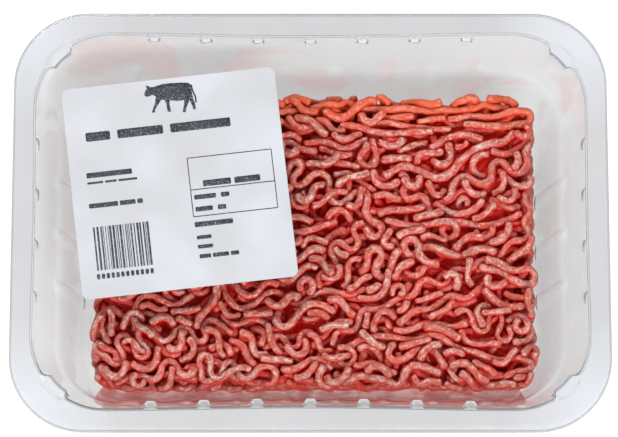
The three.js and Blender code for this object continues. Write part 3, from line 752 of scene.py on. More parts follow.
class View:
    """a height map of the pile as seen along one direction"""

    def __init__(self, origin, u, v, n, lo, hi, base):
        self.o = np.array(origin, float)
        self.B = np.array([u, v, n], float)
        self.lo = np.array(lo, float)
        size = np.ceil((np.array(hi) - self.lo) / CELL).astype(int) + 1
        self.base = base
        self.H = np.full(size, base, float)
        k = int(math.ceil(1.9 / CELL)) + 1
        g = np.arange(-k, k + 1)
        I, J = np.meshgrid(g, g, indexing="ij")
        keep = np.hypot(I, J) * CELL <= 1.65
        self.I, self.J = I[keep], J[keep]
        keep = np.hypot(self.I, self.J) * CELL <= BALL + 0.2
        self.RI, self.RJ = self.I[keep], self.J[keep]

    def to(self, P):
        return (P - self.o) @ self.B.T

    def back(self, Q):
        return Q @ self.B + self.o

    def splat(self, P, R):
        Q = self.to(P)
        f = (Q[:, :2] - self.lo) / CELL
        c = np.round(f).astype(int)
        ii = c[:, 0:1] + self.I[None, :]
        jj = c[:, 1:2] + self.J[None, :]
        du = (ii - f[:, 0:1]) * CELL
        dv = (jj - f[:, 1:2]) * CELL
        d2 = du * du + dv * dv
        r2 = (R * R)[:, None]
        ok = (d2 < r2) & (ii >= 0) & (jj >= 0) & (ii < self.H.shape[0]) & (jj < self.H.shape[1])
        h = Q[:, 2:3] + np.sqrt(np.maximum(r2 - d2, 0))
        np.maximum.at(self.H, (ii[ok], jj[ok]), h[ok])

    def rest(self, P2):
        """height of the centre of a ball resting on the pile at each place"""
        f = (P2 - self.lo) / CELL
        c = np.round(f).astype(int)
        ii = c[..., 0:1] + self.RI
        jj = c[..., 1:2] + self.RJ
        du = (ii - f[..., 0:1]) * CELL
        dv = (jj - f[..., 1:2]) * CELL
        d2 = du * du + dv * dv
        ii = np.clip(ii, 0, self.H.shape[0] - 1)
        jj = np.clip(jj, 0, self.H.shape[1] - 1)
        h = np.where(d2 < BALL * BALL, self.H[ii, jj] + np.sqrt(np.maximum(BALL * BALL - d2, 0)), -1e9)
        return h.max(axis=-1)


def gauss(sigma):
    k = int(3 * sigma) + 1
    g = np.exp(-0.5 * (np.arange(-k, k + 1) / sigma) ** 2)
    return g / g.sum(), k


def smooth(z, sigma):
    g, k = gauss(sigma)
    return np.convolve(np.pad(z, k, mode="edge"), g, mode="valid")


def moving_max(z, k):
    zp = np.pad(z, k, mode="edge")
    return np.max(np.stack([zp[i:i + len(z)] for i in range(2 * k + 1)]), axis=0)


def drape(z0, sink=0.5):
    """the line that a limp strand takes over uneven ground"""
    z = smooth(moving_max(z0, 1), 1.8)
    z = np.maximum(z, z0 - sink)
    return smooth(z, 1.0) - sink * 0.5


def over_itself(path, z):
    """where a strand crosses its own line, the later part lies on the earlier"""
    n = len(path)
    d2 = ((path[:, None] - path[None]) ** 2).sum(-1)
    far = np.arange(n)[:, None] - np.arange(n)[None] > 5
    hit = far & (d2 < (1.9 * BALL) ** 2)
    if not hit.any():
        return z
    z = z.copy()
    for k in np.flatnonzero(hit.any(1)):
        i = np.flatnonzero(hit[k])
        z[k] = max(z[k], float((z[i] + np.sqrt((1.9 * BALL) ** 2 - d2[k, i])).max()))
    return z


def walk(rng, seeds, flow, length, omega, lam, inset, turn_r, calm, region=None, loops=0.0):
    """K meandering paths at once, each leading both ways from its seed"""
    K = len(length)
    region = region or outline
    half = np.maximum(4, (length / 2 / STEP).astype(int))
    nmax = int(half.max())
    phase0 = rng.uniform(0, 2 * np.pi, K)

    def slow(lo, hi, per):
        m = int(2 * nmax * STEP / per) + 3
        knots = rng.uniform(lo, hi, (K, m))
        t = np.linspace(0, m - 1.001, 2 * nmax + 1)
        i = t.astype(int)
        f = t - i
        f = f * f * (3 - 2 * f)
        return knots[:, i] * (1 - f) + knots[:, i + 1] * f
    am = slow(0.3, 1.5, 13)
    wl = slow(0.7, 1.4, 10)
    drift = slow(-calm, calm, 26)
    kmax = STEP / turn_r
    # some strands make a full small loop on their way
    loop_r = rng.uniform(1.9, 3.0, K)
    loop_n = np.round(2 * np.pi * loop_r / STEP)
    loop_at = np.where(rng.uniform(0, 1, K) < loops, rng.integers(5, max(6, nmax), K), 10 ** 6)
    loop_way = np.where(rng.uniform(0, 1, K) < 0.5, -1.0, 1.0)
    out = []
    for sign in (1, -1):
        p = seeds.astype(float).copy()
        pts = np.empty((nmax + 1, K, 2))
        pts[0] = p
        live = np.ones(K, bool)
        count = np.zeros(K, int)
        phase = phase0.copy()
        base = flow(p)
        flip = np.zeros(K)
        th = base + drift[:, nmax] + omega * am[:, nmax] * np.sin(phase) + (np.pi if sign < 0 else 0)
        turn = np.zeros(K)
        for i in range(nmax):
            j = nmax + sign * i
            w = np.clip(omega * am[:, j], 0, 2.15)
            phase = phase + sign * 2 * np.pi * STEP / (lam * wl[:, j])
            want = flow(p) + flip + drift[:, j] + w * np.sin(phase) + (np.pi if sign < 0 else 0)
            d, g = region(p, inset)
            c, s = np.cos(th), np.sin(th)
            outw = c * g[:, 0] + s * g[:, 1]
            side = np.where(c * g[:, 1] - s * g[:, 0] >= 0, 1.0, -1.0)
            near = (d > -turn_r * 1.15) & (outw > -0.25)
            turn = np.where(near & (turn == 0), -side, turn)
            turn = np.where((turn != 0) & (outw < -0.55), 0, turn)
            diff = (want - th + np.pi) % (2 * np.pi) - np.pi
            back = (np.abs(diff) > 1.9) & (turn == 0)
            flip = np.where(back, flip + np.pi, flip)
            diff = np.where(back, (diff + 2 * np.pi) % (2 * np.pi) - np.pi, diff)
            dth = np.where(turn != 0, turn * kmax, np.clip(diff * 0.6, -kmax, kmax))
            if sign > 0:
                looping = (i >= loop_at) & (i < loop_at + loop_n) & (turn == 0)
                dth = np.where(looping, loop_way * 2 * np.pi / loop_n, dth)
            th = th + dth
            p = p + STEP * np.stack([np.cos(th), np.sin(th)], 1)
            live = live & (i < half) & (d < 0.8)
            count += live
            pts[i + 1] = p
        out.append((pts, count))
    return [np.concatenate([out[1][0][1:out[1][1][k] + 1, k][::-1], out[0][0][:out[0][1][k] + 1, k]]) for k in range(K)]


class Pile:
    def __init__(self, seed):
        self.rng = np.random.default_rng(seed)
        x0, y0 = MEAT_CENTRE
        m = 8
        s = math.sqrt(0.5)
        a, b = MEAT_A + m, MEAT_B + m
        self.top = View((0, 0, 0), (1, 0, 0), (0, 1, 0), (0, 0, 1), (x0 - a, y0 - b), (x0 + a, y0 + b), FLOOR_Z)
        x = self.top.lo[0] + CELL * np.arange(self.top.H.shape[0])
        y = self.top.lo[1] + CELL * np.arange(self.top.H.shape[1])
        self.XY = np.stack(np.meshgrid(x, y, indexing="ij"), -1)
        self.dist = outline(self.XY, 0.0)[0]
        # the ground: the tray's floor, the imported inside, and the slope of the near wall
        run = np.clip(1 - (self.XY[..., 1] - MEAT_NEAR) / LEAN_IN, 0, 1)
        self.ground = np.where(outline(self.XY, 0.0, LEAN_IN)[0] < -CORE_INSET, CORE_TOP, FLOOR_Z + run * (LEAN_TOP - FLOOR_Z))
        self.top.H[:] = self.ground
        self.goal = target_top(self.XY)
        self.front = View((0, y0 - MEAT_B, MEAT_TOP), (1, 0, 0), (0, s, s), (0, -s, s), (x0 - a, -42), (x0 + a, 34), -60)
        self.views = [self.top, self.front]
        self.strands = []

    def add(self, P, r):
        self.strands.append((P, r))
        for v in self.views:
            v.splat(P, r)

    def radius(self, n):
        rng = self.rng
        r = rng.normal(1.2, 0.1)
        m = max(3, n // 4)
        knots = rng.normal(0, 0.09, m + 2)
        t = np.linspace(0, m - 0.001, n)
        i = t.astype(int)
        f = t - i
        f = f * f * (3 - 2 * f)
        return np.clip(r + knots[i] * (1 - f) + knots[i + 1] * f, 0.88, 1.55)

    def rebuild(self):
        self.top.H[:] = self.ground
        self.front.H[:] = self.front.base
        for P, r in self.strands:
            for v in self.views:
                v.splat(P, r)

    def lay(self, v, paths, target, limit, wz=1.0, wr=6.0, wl=0.03, least=9):
        """of several paths, keeps the one that lies lowest and flattest"""
        best = None
        every = np.concatenate(paths)
        Z = v.rest(every)
        T = target(every)
        o = 0
        for path in paths:
            z0 = Z[o:o + len(path)]
            over = z0 - T[o:o + len(path)]
            o += len(path)
            bad = over > limit
            if bad.any():
                edges = np.flatnonzero(np.diff(np.concatenate([[1], bad.astype(int), [1]])))
                starts, ends = edges[::2], edges[1::2]
                if len(starts) == 0:
                    continue
                k = int(np.argmax(ends - starts))
                sl = slice(starts[k], ends[k])
                path, z0, over = path[sl], z0[sl], over[sl]
            if len(path) < least:
                continue
            rough = np.abs(np.diff(z0)).mean() / STEP
            score = over.mean() * wz + wr * rough - wl * min(len(path), 110)
            if best is None or score < best[0]:
                best = (score, path, z0)
        if best is None:
            return False
        _, path, z0 = best
        P = v.back(np.column_stack([path, drape(over_itself(path, z0))]))
        self.add(P, self.radius(len(P)))
        return True

    def pour(self, v, where, goal, target, flow, lengths, mix, inset, limit, rounds, stop, batch=20, K=8, turn=(2.3, 3.4), calm=0.22, region=None, least=9, scatter=1.0, wl=0.03, need=1.0, loops=0.0):
        """lays strands in batches, each seeded where the pile lacks most"""
        rng = self.rng
        q = 3
        grid = self.grid(v)[::q, ::q]
        where = where[::q, ::q]
        goal = goal[::q, ::q]
        tired = np.zeros(where.shape)
        laid = 0
        for _ in range(rounds):
            lack = np.where(where, goal - v.H[::q, ::q] - tired, -1e9)
            pick = lack + rng.normal(0, scatter, lack.shape)
            seeds = []
            for _ in range(batch):
                i, j = np.unravel_index(int(np.argmax(pick)), pick.shape)
                if lack[i, j] < stop:
                    break
                seeds.append((i, j))
                pick[max(0, i - 4):i + 5, max(0, j - 4):j + 5] = -1e9
            if not seeds:
                break
            n = len(seeds)
            s = np.repeat(np.array([grid[i, j] for i, j in seeds]), K, axis=0)
            omega, lam = styles(rng, n * K, mix)
            paths = walk(rng, s + rng.normal(0, 0.7, s.shape), flow(rng, n * K), rng.uniform(lengths[0], lengths[1], n * K), omega, lam,
                         inset, rng.uniform(turn[0], turn[1], n * K), calm, region, loops)
            for m, (i, j) in enumerate(seeds):
                if v.H[i * q, j * q] > goal[i, j] - stop + 0.6:
                    continue
                if self.lay(v, paths[m * K:(m + 1) * K], target, limit, least=least, wl=wl):
                    laid += 1
                    tired[max(0, i - 1):i + 2, max(0, j - 1):j + 2] += 0.15
                else:
                    tired[max(0, i - 1):i + 2, max(0, j - 1):j + 2] += need
        return laid

    def grid(self, v):
        x = v.lo[0] + CELL * np.arange(v.H.shape[0])
        y = v.lo[1] + CELL * np.arange(v.H.shape[1])
        return np.stack(np.meshgrid(x, y, indexing="ij"), -1)


def styles(rng, K, mix=(0.36, 0.72)):
    style = rng.uniform(0, 1, K)
    omega = np.where(style < mix[0], rng.uniform(0.15, 0.6, K),
                     np.where(style < mix[1], rng.uniform(0.6, 1.25, K), rng.uniform(1.25, 2.1, K)))
    lam = np.maximum(11.0 * omega, rng.uniform(10, 24, K))
    return omega, lam


def relax(strands, rounds=60, cap=2.4, gravity=0.05):
    """lets the strands settle: contacts push apart, weight pulls down, and
    each strand keeps its length and its local shape"""
    P = np.concatenate([s[0] for s in strands])
    R = np.concatenate([s[1] for s in strands])
    lens = np.array([len(s[0]) for s in strands])
    sid = np.repeat(np.arange(len(strands)), lens)
    pos = np.concatenate([np.arange(n) for n in lens])
    N = len(P)
    P0 = P.copy()
    link = np.flatnonzero(sid[1:] == sid[:-1])            # i, i+1
    bend = np.flatnonzero(sid[2:] == sid[:-2])            # i, i+1, i+2
    L0 = np.linalg.norm(P[link + 1] - P[link], axis=1)
    L0 = np.clip(L0, 0.9 * STEP, 1.25 * STEP)
    B0 = P[bend] - 2 * P[bend + 1] + P[bend + 2]
    pairs = None
    for it in range(rounds):
        if it % 12 == 0:
            cell = 3.2
            lo = P.min(0) - cell
            key3 = ((P - lo) / cell).astype(int)
            dims = key3.max(0) + 3
            key = (key3[:, 0] * dims[1] + key3[:, 1]) * dims[2] + key3[:, 2]
            order = np.argsort(key, kind="stable")
            sk = key[order]
            A, Bq = [], []
            for dx in (-1, 0, 1):
                for dy in (-1, 0, 1):
                    for dz in (-1, 0, 1):
                        off = (dx * dims[1] + dy) * dims[2] + dz
                        if off < 0:
                            continue
                        l = np.searchsorted(sk, sk + off, "left")
                        r = np.searchsorted(sk, sk + off, "right")
                        if off == 0:
                            l = np.arange(N) + 1
                        n = np.maximum(r - l, 0)
                        a = np.repeat(np.arange(N), n)
                        b = np.arange(n.sum()) - np.repeat(np.cumsum(n) - n, n) + np.repeat(l, n)
                        A.append(order[a]); Bq.append(order[b])
            a = np.concatenate(A); b = np.concatenate(Bq)
            far = (sid[a] != sid[b]) | (np.abs(pos[a] - pos[b]) > 4)
            a, b = a[far], b[far]
            d = np.linalg.norm(P[a] - P[b], axis=1)
            k = d < R[a] + R[b] + 0.5
            a, b = a[k], b[k]
            RR = (R[a] + R[b]) * 0.96
        # weight
        P[:, 2] -= gravity * (1 if it < rounds - 15 else 0)
        # contacts
        D = P[b] - P[a]
        d = np.sqrt((D * D).sum(1)) + 1e-9
        pen = RR - d
        hit = pen > 0
        ha, hb = a[hit], b[hit]
        C = D[hit] * (0.5 * pen[hit] / d[hit])[:, None]
        cnt = np.bincount(ha, minlength=N) + np.bincount(hb, minlength=N)
        s = 1.3 / np.maximum(cnt, 1)
        for c in range(3):
            P[:, c] += s * (np.bincount(hb, C[:, c], N) - np.bincount(ha, C[:, c], N))
        # shape
        e = (P[bend] - 2 * P[bend + 1] + P[bend + 2]) - B0
        e *= 0.12
        P[bend] -= e * 0.5
        P[bend + 1] += e
        P[bend + 2] -= e * 0.5
        # length
        for par in (0, 1):
            i = link[pos[link] % 2 == par]
            q = L0[pos[link] % 2 == par]
            D = P[i + 1] - P[i]
            d = np.sqrt((D * D).sum(1)) + 1e-9
            C = D * (0.5 * (d - q) / d)[:, None]
            P[i] += C
            P[i + 1] -= C
        # stay inside, on the floor, off the core and near the start
        P[:, 2] = np.maximum(P[:, 2], FLOOR_Z + R * 0.8)
        rise = np.clip((P[:, 2] - FLOOR_Z) / (MEAT_TOP - FLOOR_Z), 0, 1)
        lowin = np.clip(1 - (P[:, 2] - FLOOR_Z) / 4.5, 0, 1) ** 2 * 2.6
        d, g = outline(P[:, :2], 0.0, lean_at(P[:, 2]))
        taper = TAPER * (1 - 0.9 * np.clip(-g[:, 1], 0, 1))
        ins = R + taper * (1 - rise) + lowin
        outd = np.maximum(d + ins, 0)
        P[:, :2] -= g * outd[:, None] * 0.6
        M = P - P0
        m = np.sqrt((M * M).sum(1)) + 1e-9
        P = P0 + M * np.minimum(1, cap / m)[:, None]
    out = []
    o = 0
    for n, (q, r) in zip(lens, strands):
        out.append((P[o:o + n], r))
        o += n
    return out


def build(seed=7):
    pile = Pile(seed)
    rng = pile.rng
    top, front = pile.top, pile.front
    dist = pile.dist

    def around(rng, K):
        def f(p):
            g = outline(p, 0.0)[1]
            return np.arctan2(g[:, 0], -g[:, 1])
        return f

    def ring_region(level):
        def f(p, inset):
            d, g = outline(p, inset, lean_at(level))
            dc, gc = outline(p, 0.0, LEAN_IN)
            d2 = -CORE_INSET - dc
            inner = d2 > d
            return np.where(inner, d2, d), np.where(inner[:, None], -gc, g)
        return f

    def along(spread):
        def f(rng, K):
            h = np.where(rng.uniform(0, 1, K) < 0.5, 0, np.pi) + rng.normal(0, spread, K)
            k = rng.uniform(0, 2 * np.pi, 2)

            def g(p):
                return h + 0.25 * np.sin(0.06 * p[:, 0] + 0.05 * p[:, 1] + k[0]) + 0.2 * np.sin(0.11 * p[:, 1] - 0.03 * p[:, 0] + k[1])
            return g
        return f

    def any_way(rng, K):
        h = rng.uniform(0, 2 * np.pi, K)
        return lambda p: h

    # the foot and the sides, in lifts that follow the outline
    for lvl, inset in ((8.0, 3.4), (16.0, 1.9), (25.0, 1.6)):
        ring = (outline(pile.XY, 0.0, lean_at(lvl))[0] < -inset) & (outline(pile.XY, 0.0, LEAN_IN)[0] > -CORE_INSET + 0.8)
        goal = np.full(dist.shape, lvl)
        pile.pour(top, ring, goal, lambda p, l=lvl: np.full(len(p), l), around, (30, 130), (0.3, 0.65), inset, 1.2, 30, 1.5,
                      batch=12, K=6, turn=(1.9, 2.5), calm=0.15, region=ring_region(lvl))
    # the body
    inside = dist < -1.7
    pile.pour(top, inside, pile.goal - 7.0, lambda p: target_top(p) - 7.0, along(0.25), (40, 150), (0.35, 0.7), 1.5, 1.5, 18, 1.6, batch=30)
    pile.strands = relax(pile.strands, 30)
    pile.rebuild()
    pile.pour(top, inside, pile.goal - 2.6, lambda p: target_top(p) - 2.6, along(0.3), (40, 150), (0.25, 0.55), 1.5, 1.6, 18, 1.4, batch=30, turn=(1.9, 2.8), loops=0.2)
    pile.pour(top, inside, pile.goal - 2.6, lambda p: target_top(p) - 2.6, any_way, (7, 26), (0.3, 0.6), 1.5, 1.4, 9, 1.9, batch=34, least=5, wl=0.0)
    # strands over the near edge, in folds that hang down the side
    grid = pile.grid(front)
    lower, upper = -15.0, 7.5

    def apron(p, inset):
        h = np.array([MEAT_A - inset - 0.8, 0.5 * (upper - lower)])
        q = p - np.array([MEAT_CENTRE[0], 0.5 * (upper + lower)])
        sg = np.where(q < 0, -1.0, 1.0)
        e = np.abs(q) - h
        flat = np.where((e[..., 0] > e[..., 1])[..., None], np.array([1.0, 0.0]), np.array([0.0, 1.0]))
        return e.max(-1), flat * sg
    inside_f = apron(grid, 1.6)[0] < 0

    def face(p):
        """height of the strands' centres in this view, round the block's upper edge"""
        bend = np.sqrt(p[..., 1] ** 2 + 7.5)
        return -bend - 1.75 - 0.33 * (bend - p[..., 1])
    # a few long strands along the far edge
    far_band = (dist < -1.3) & (pile.XY[..., 1] > MEAT_FAR - 8)
    pile.pour(top, far_band, pile.goal + 0.4, lambda p: target_top(p) + 0.3, along(0.04), (40, 130), (0.8, 1.1), 1.3, 1.6, 6, 1.0, batch=5, turn=(1.9, 2.6), calm=0.08)
    # the top, short of the near edge
    back = inside & (pile.XY[..., 1] > MEAT_NEAR + 5.5)
    pile.pour(top, back, pile.goal + 0.6, lambda p: target_top(p) + 0.3, along(0.4), (30, 140), (0.16, 0.4), 1.4, 1.3, 18, 1.5, batch=30, turn=(1.7, 2.6), loops=0.35)
    pile.pour(front, inside_f, face(grid) + 0.9, face, along(0.1), (30, 120), (0.06, 0.2), 1.0, 1.4, 16, 1.0, batch=22,
              turn=(1.7, 2.3), region=apron, loops=0.1)
    pile.strands = relax(pile.strands, 30)
    pile.rebuild()
    curly = inside & (pile.XY[..., 1] < MEAT_NEAR + 24)
    pile.pour(top, curly, pile.goal + 0.5, lambda p: target_top(p) + 0.2, any_way, (24, 80), (0.03, 0.12), 1.4, 1.2, 8, 1.6, batch=24, turn=(1.7, 2.3), loops=0.3)
    pile.pour(top, inside, pile.goal + 0.4, lambda p: target_top(p) + 0.2, along(0.5), (20, 90), (0.12, 0.34), 1.4, 1.2, 6, 1.7, batch=26, turn=(1.7, 2.6), loops=0.35)
    pile.pour(top, inside, pile.goal, target_top, any_way, (6, 24), (0.2, 0.5), 1.5, 0.9, 10, 2.0, batch=34, least=5, wl=0.0)
    pile.strands = relax(pile.strands, 44)
    pile.rebuild()
    return pile


def seen_parts(pile):
    """drops the stretches that lie deep inside, where the core fills the block"""
    out = []
    for P, r in pile.strands:
        d = -outline(P[:, :2], 0.0, lean_at(P[:, 2]))[0]
        roof = target_top(P[:, :2])
        shown = (P[:, 2] > roof - 9.5) | (d < 8.5) | (P[:, 2] < FLOOR_Z + 3.6)
        shown = np.convolve(shown.astype(float), np.ones(5), "same") > 0
        edges = np.flatnonzero(np.diff(np.concatenate([[0], shown.astype(int), [0]])))
        for a, b in zip(edges[::2], edges[1::2]):
            if b - a >= 5:
                out.append((P[a:b], r[a:b]))
    return out


def strand_mesh(name, strands, rng, sides=9):
    V, Q, T, grain, tone, deep = [], [], [], [], [], []
    base = 0
    w = np.arange(sides) * 2 * math.pi / sides
    cw, sw = np.cos(w), np.sin(w)
    i = np.arange(sides)
    j = (i + 1) % sides
    for P, r in strands:
        n = len(P)
        Q0 = P.copy()
        Q0[1:-1] = 0.25 * P[:-2] + 0.5 * P[1:-1] + 0.25 * P[2:]
        t = np.gradient(Q0, axis=0)
        t /= np.linalg.norm(t, axis=1, keepdims=True) + 1e-9
        u = np.cross(t[0], (0, 0, 1.0)) if abs(t[0][2]) < 0.9 else np.cross(t[0], (1.0, 0, 0))
        U = np.empty((n, 3))
        for k in range(n):
            u = u - t[k] * (u @ t[k])
            u = u / (math.sqrt(u @ u) + 1e-9)
            U[k] = u
        W = np.cross(t, U)
        s = np.arange(n) * STEP
        ph = rng.uniform(0, 2 * math.pi, 8)
        swellr = 1 + 0.05 * np.sin(s * 0.9 + ph[0]) + 0.045 * np.sin(s * 1.9 + ph[1]) + 0.03 * np.sin(s * 2.9 + ph[2])
        oval = 0.06 * np.sin(s * 0.13 + ph[3])
        spin = 0.5 * np.sin(s * 0.08 + ph[4]) + ph[5]
        rad = (r * swellr)[:, None] * (1 + oval[:, None] * np.cos(2 * (w[None] + spin[:, None])) + 0.04 * np.sin(3 * w[None] + s[:, None] * 1.1 + ph[6]) * np.sin(s[:, None] * 0.7 + ph[7]))
        # blunt, slightly torn ends
        e0, e1 = rng.uniform(0.55, 1.0, 2)
        rows = []
        for off, sc in ((0.92, 0.40), (0.66, 0.74), (0.32, 0.94)):
            rows.append((Q0[0] - t[0] * r[0] * off * e0, U[0], W[0], rad[0] * sc))
        for k in range(n):
            rows.append((Q0[k], U[k], W[k], rad[k]))
        for off, sc in ((0.32, 0.94), (0.66, 0.74), (0.92, 0.40)):
            rows.append((Q0[-1] + t[-1] * r[-1] * off * e1, U[-1], W[-1], rad[-1] * sc))
        C = np.array([q[0] for q in rows])
        UU = np.array([q[1] for q in rows])
        WW = np.array([q[2] for q in rows])
        RR = np.array([q[3] for q in rows])
        ring = C[:, None] + UU[:, None] * (RR * cw)[..., None] + WW[:, None] * (RR * sw)[..., None]
        m = len(rows)
        tips = np.array([Q0[0] - t[0] * r[0] * e0, Q0[-1] + t[-1] * r[-1] * e1])
        V.append(ring.reshape(-1, 3))
        V.append(tips)
        k = np.arange(m - 1)[:, None] * sides
        q = np.stack([k + i, k + j, k + sides + j, k + sides + i], -1).reshape(-1, 4) + base
        Q.append(q)
        tip = base + m * sides
        T.append(np.stack([base + j, base + i, np.full(sides, tip)], 1))
        last = base + (m - 1) * sides
        T.append(np.stack([last + i, last + j, np.full(sides, tip + 1)], 1))
        own = rng.uniform(0, 400)
        sl = np.concatenate([s[0] - np.array([1.3, 0.9, 0.45]), s, s[-1] + np.array([0.45, 0.9, 1.3])])
        g = np.stack([np.repeat(sl * 0.6 + own, sides), np.tile(cw * 1.5, m), np.tile(sw * 1.5, m)], 1)
        g = np.concatenate([g, [[sl[0] * 0.6 + own, 0, 0], [sl[-1] * 0.6 + own, 0, 0]]])
        grain.append(g)
        at = np.concatenate([ring.reshape(-1, 3), tips])
        # how far a point lies under the pile's top or inside its outline: the strand material paints shade by it
        below = target_top(at[:, :2]) + 1.6 - at[:, 2]
        within = -outline(at[:, :2], 0.0, lean_at(at[:, 2]))[0] * 1.1
        deep.append(np.clip(np.minimum(below, within) / 8.0, 0, 1))
        dark = np.clip(rng.normal(0.18, 0.2), 0, 0.75)
        tone.append(np.full(m * sides + 2, dark))
        base += m * sides + 2
    V = np.concatenate(V)
    # a little unevenness that runs on from strand to strand
    x, y, z = V.T
    bumpy = 0.12 * np.sin(2.1 * x + 1.3 * y + 0.5) * np.sin(1.7 * z + 0.9 * x) + 0.10 * np.sin(2.6 * y - 1.9 * z + 2.0)
    V = V + np.stack([bumpy, np.roll(bumpy, 1), bumpy[::-1] * 0.5], 1) * 0.6
    ob = mesh_from(name, V, np.concatenate(Q), np.concatenate(T), True)
    a = ob.data.attributes.new("grain", "FLOAT_VECTOR", "POINT")
    a.data.foreach_set("vector", np.concatenate(grain).astype(np.float32).ravel())
    a = ob.data.attributes.new("depth", "FLOAT", "POINT")
    a.data.foreach_set("value", np.concatenate(deep).astype(np.float32))
    a = ob.data.attributes.new("tone", "FLOAT", "POINT")
    a.data.foreach_set("value", np.concatenate(tone).astype(np.float32))
    return ob


def make_juice_and_reflection(mat):
    """juice that has crept up between the block and the near wall, and a painted reflection and shadow of the block's
    near face: a skin on the sheet, down the wall, round the fold and onto the floor"""
    long_n, short_n = len(U_LONG) + 2 * LINK_N, len(U_SHORT) + 2 * LINK_N
    first = 3 * (CORNER_N + 1) + long_n + short_n
    rows, depths = [], np.linspace(3.0, 44.2, 43)
    for d in depths:
        p = wall_line(d, 0.0)
        X, Y, _ = posts(p[:, 0], p[:, 1], d, 0.0, False)
        rows.append((X, Y, 50 - d, 0.96, 0.27))
    bottom, f = 50.0 - FLOOR_T, 5.0
    for k in range(1, 9):
        w = math.pi / 2 * k / 8
        d = bottom - f * (1 - math.sin(w))
        p = wall_line(min(d, bottom), -f * (1 - math.cos(w)))
        rows.append((p[:, 0], p[:, 1], 50 - d, math.cos(w), math.sin(w)))
    for inward in (0.985, 0.96, 0.93):
        rows.append((p[:, 0] * inward, p[:, 1] * inward, FLOOR_T, 0.0, 1.0))
    more = 18
    first, long_n = first - more, long_n + 2 * more
    S = np.array([np.column_stack([X, Y, np.full(len(X), z)])[first:first + long_n] for X, Y, z, _, _ in rows])
    run = np.gradient(S[20], axis=0)
    run = np.column_stack([-run[:, 1], run[:, 0]]) / np.hypot(run[:, 0], run[:, 1])[:, None]
    N = np.array([np.column_stack([run * side, np.full(long_n, up)]) for _, _, _, side, up in rows])
    x = np.concatenate([[0], np.cumsum(np.linalg.norm(np.diff(S[20], axis=0), axis=1))])
    x -= x[-1] / 2
    edge = x[-1] - 16
    start = 6.0 + 1.3 * np.sin(0.11 * x + 1.0) + 0.7 * np.sin(0.31 * x + 2.0) + 0.4 * np.sin(0.83 * x)
    start = np.clip(start + 44 * ease((np.abs(x) - edge) / 15) ** 1.3, 0, len(rows) - 4)
    m, R = 34, len(rows)
    front, back = [], []
    cols = np.arange(long_n)
    for k in range(m):
        t = start + (R - 1 - start) * (k / (m - 1))
        i = np.minimum(t.astype(int), R - 2)
        q = (t - i)[:, None]
        P = S[i, cols] * (1 - q) + S[i + 1, cols] * q
        n = N[i, cols] * (1 - q) + N[i + 1, cols] * q
        thick = 0.05 + 0.16 * min(1.0, k / 2, (m - 1 - k) / 1.5)
        front.append(P + n * thick)
        back.append(P + n * 0.035)
    ring = front + back[::-1]
    M, n = len(ring), long_n
    i = np.arange(n - 1)
    Q = [np.stack([k * n + i, k * n + i + 1, ((k + 1) % M) * n + i + 1, ((k + 1) % M) * n + i], 1) for k in range(M)]
    for c, way in ((0, 1), (n - 1, -1)):
        cap = np.array([[k * n + c, (k + 1) * n + c, (M - 2 - k) * n + c, (M - 1 - k) * n + c] for k in range(m - 1)])
        Q.append(cap[:, ::way])
    ob = mesh_from("juice_and_reflection_skin", np.concatenate(ring), np.concatenate(Q), [], True)
    place(ob, mat, "minced_meat")


def juice_reflection_shader(name):
    m, nt, out = material(name)
    co = node(nt, "ShaderNodeTexCoord")
    n1 = node(nt, "ShaderNodeTexNoise", Scale=90.0, Detail=3.0)
    link(nt, co.outputs["Object"], n1.inputs["Vector"])
    p = node(nt, "ShaderNodeBsdfPrincipled", **{"Metallic": 0.0, "IOR": 1.2, "Transmission Weight": 0.76})
    # painted reflection: the juice's red also stands for the block's near face mirrored in the near wall
    link(nt, ramp(nt, n1.outputs["Fac"], [(0.35, (0.90, 0.29, 0.26)), (0.5, (0.94, 0.45, 0.42)), (0.65, (0.97, 0.64, 0.61))]), p.inputs["Base Color"])
    link(nt, mapped(nt, n1.outputs["Fac"], 0.3, 0.7, 0.05, 0.12), p.inputs["Roughness"])
    # it has run together in patches, and thins out upwards
    n2 = node(nt, "ShaderNodeTexNoise", Scale=150.0, Detail=3.0, Roughness=0.55, Distortion=0.6)
    link(nt, co.outputs["Object"], n2.inputs["Vector"])
    xyz = node(nt, "ShaderNodeSeparateXYZ")
    link(nt, co.outputs["Object"], xyz.inputs["Vector"])
    cover = node(nt, "ShaderNodeMath", operation="MULTIPLY")
    link(nt, mapped(nt, n2.outputs["Fac"], 0.42, 0.58, 0.25, 1.0), cover.inputs[0])
    link(nt, mapped(nt, xyz.outputs["Z"], 0.022, 0.041, 1.0, 0.22), cover.inputs[1])
    bare = node(nt, "ShaderNodeBsdfTransparent")
    link(nt, mixed(nt, mapped(nt, xyz.outputs["Z"], 0.024, 0.042, 0.0, 1.0), (0.96, 0.78, 0.765), (0.985, 0.93, 0.92)), bare.inputs["Color"])
    patchy = node(nt, "ShaderNodeMixShader")
    link(nt, cover.outputs["Value"], patchy.inputs[0])
    link(nt, bare.outputs["BSDF"], patchy.inputs[1])
    link(nt, p.outputs["BSDF"], patchy.inputs[2])
    t = node(nt, "ShaderNodeBsdfTransparent", Color=(0.94, 0.76, 0.74, 1))
    lp = node(nt, "ShaderNodeLightPath")
    mx = node(nt, "ShaderNodeMixShader")
    link(nt, lp.outputs["Is Shadow Ray"], mx.inputs[0])
    link(nt, patchy.outputs["Shader"], mx.inputs[1])
    link(nt, t.outputs["BSDF"], mx.inputs[2])
    link(nt, mx.outputs["Shader"], out.inputs["Surface"])
    return m


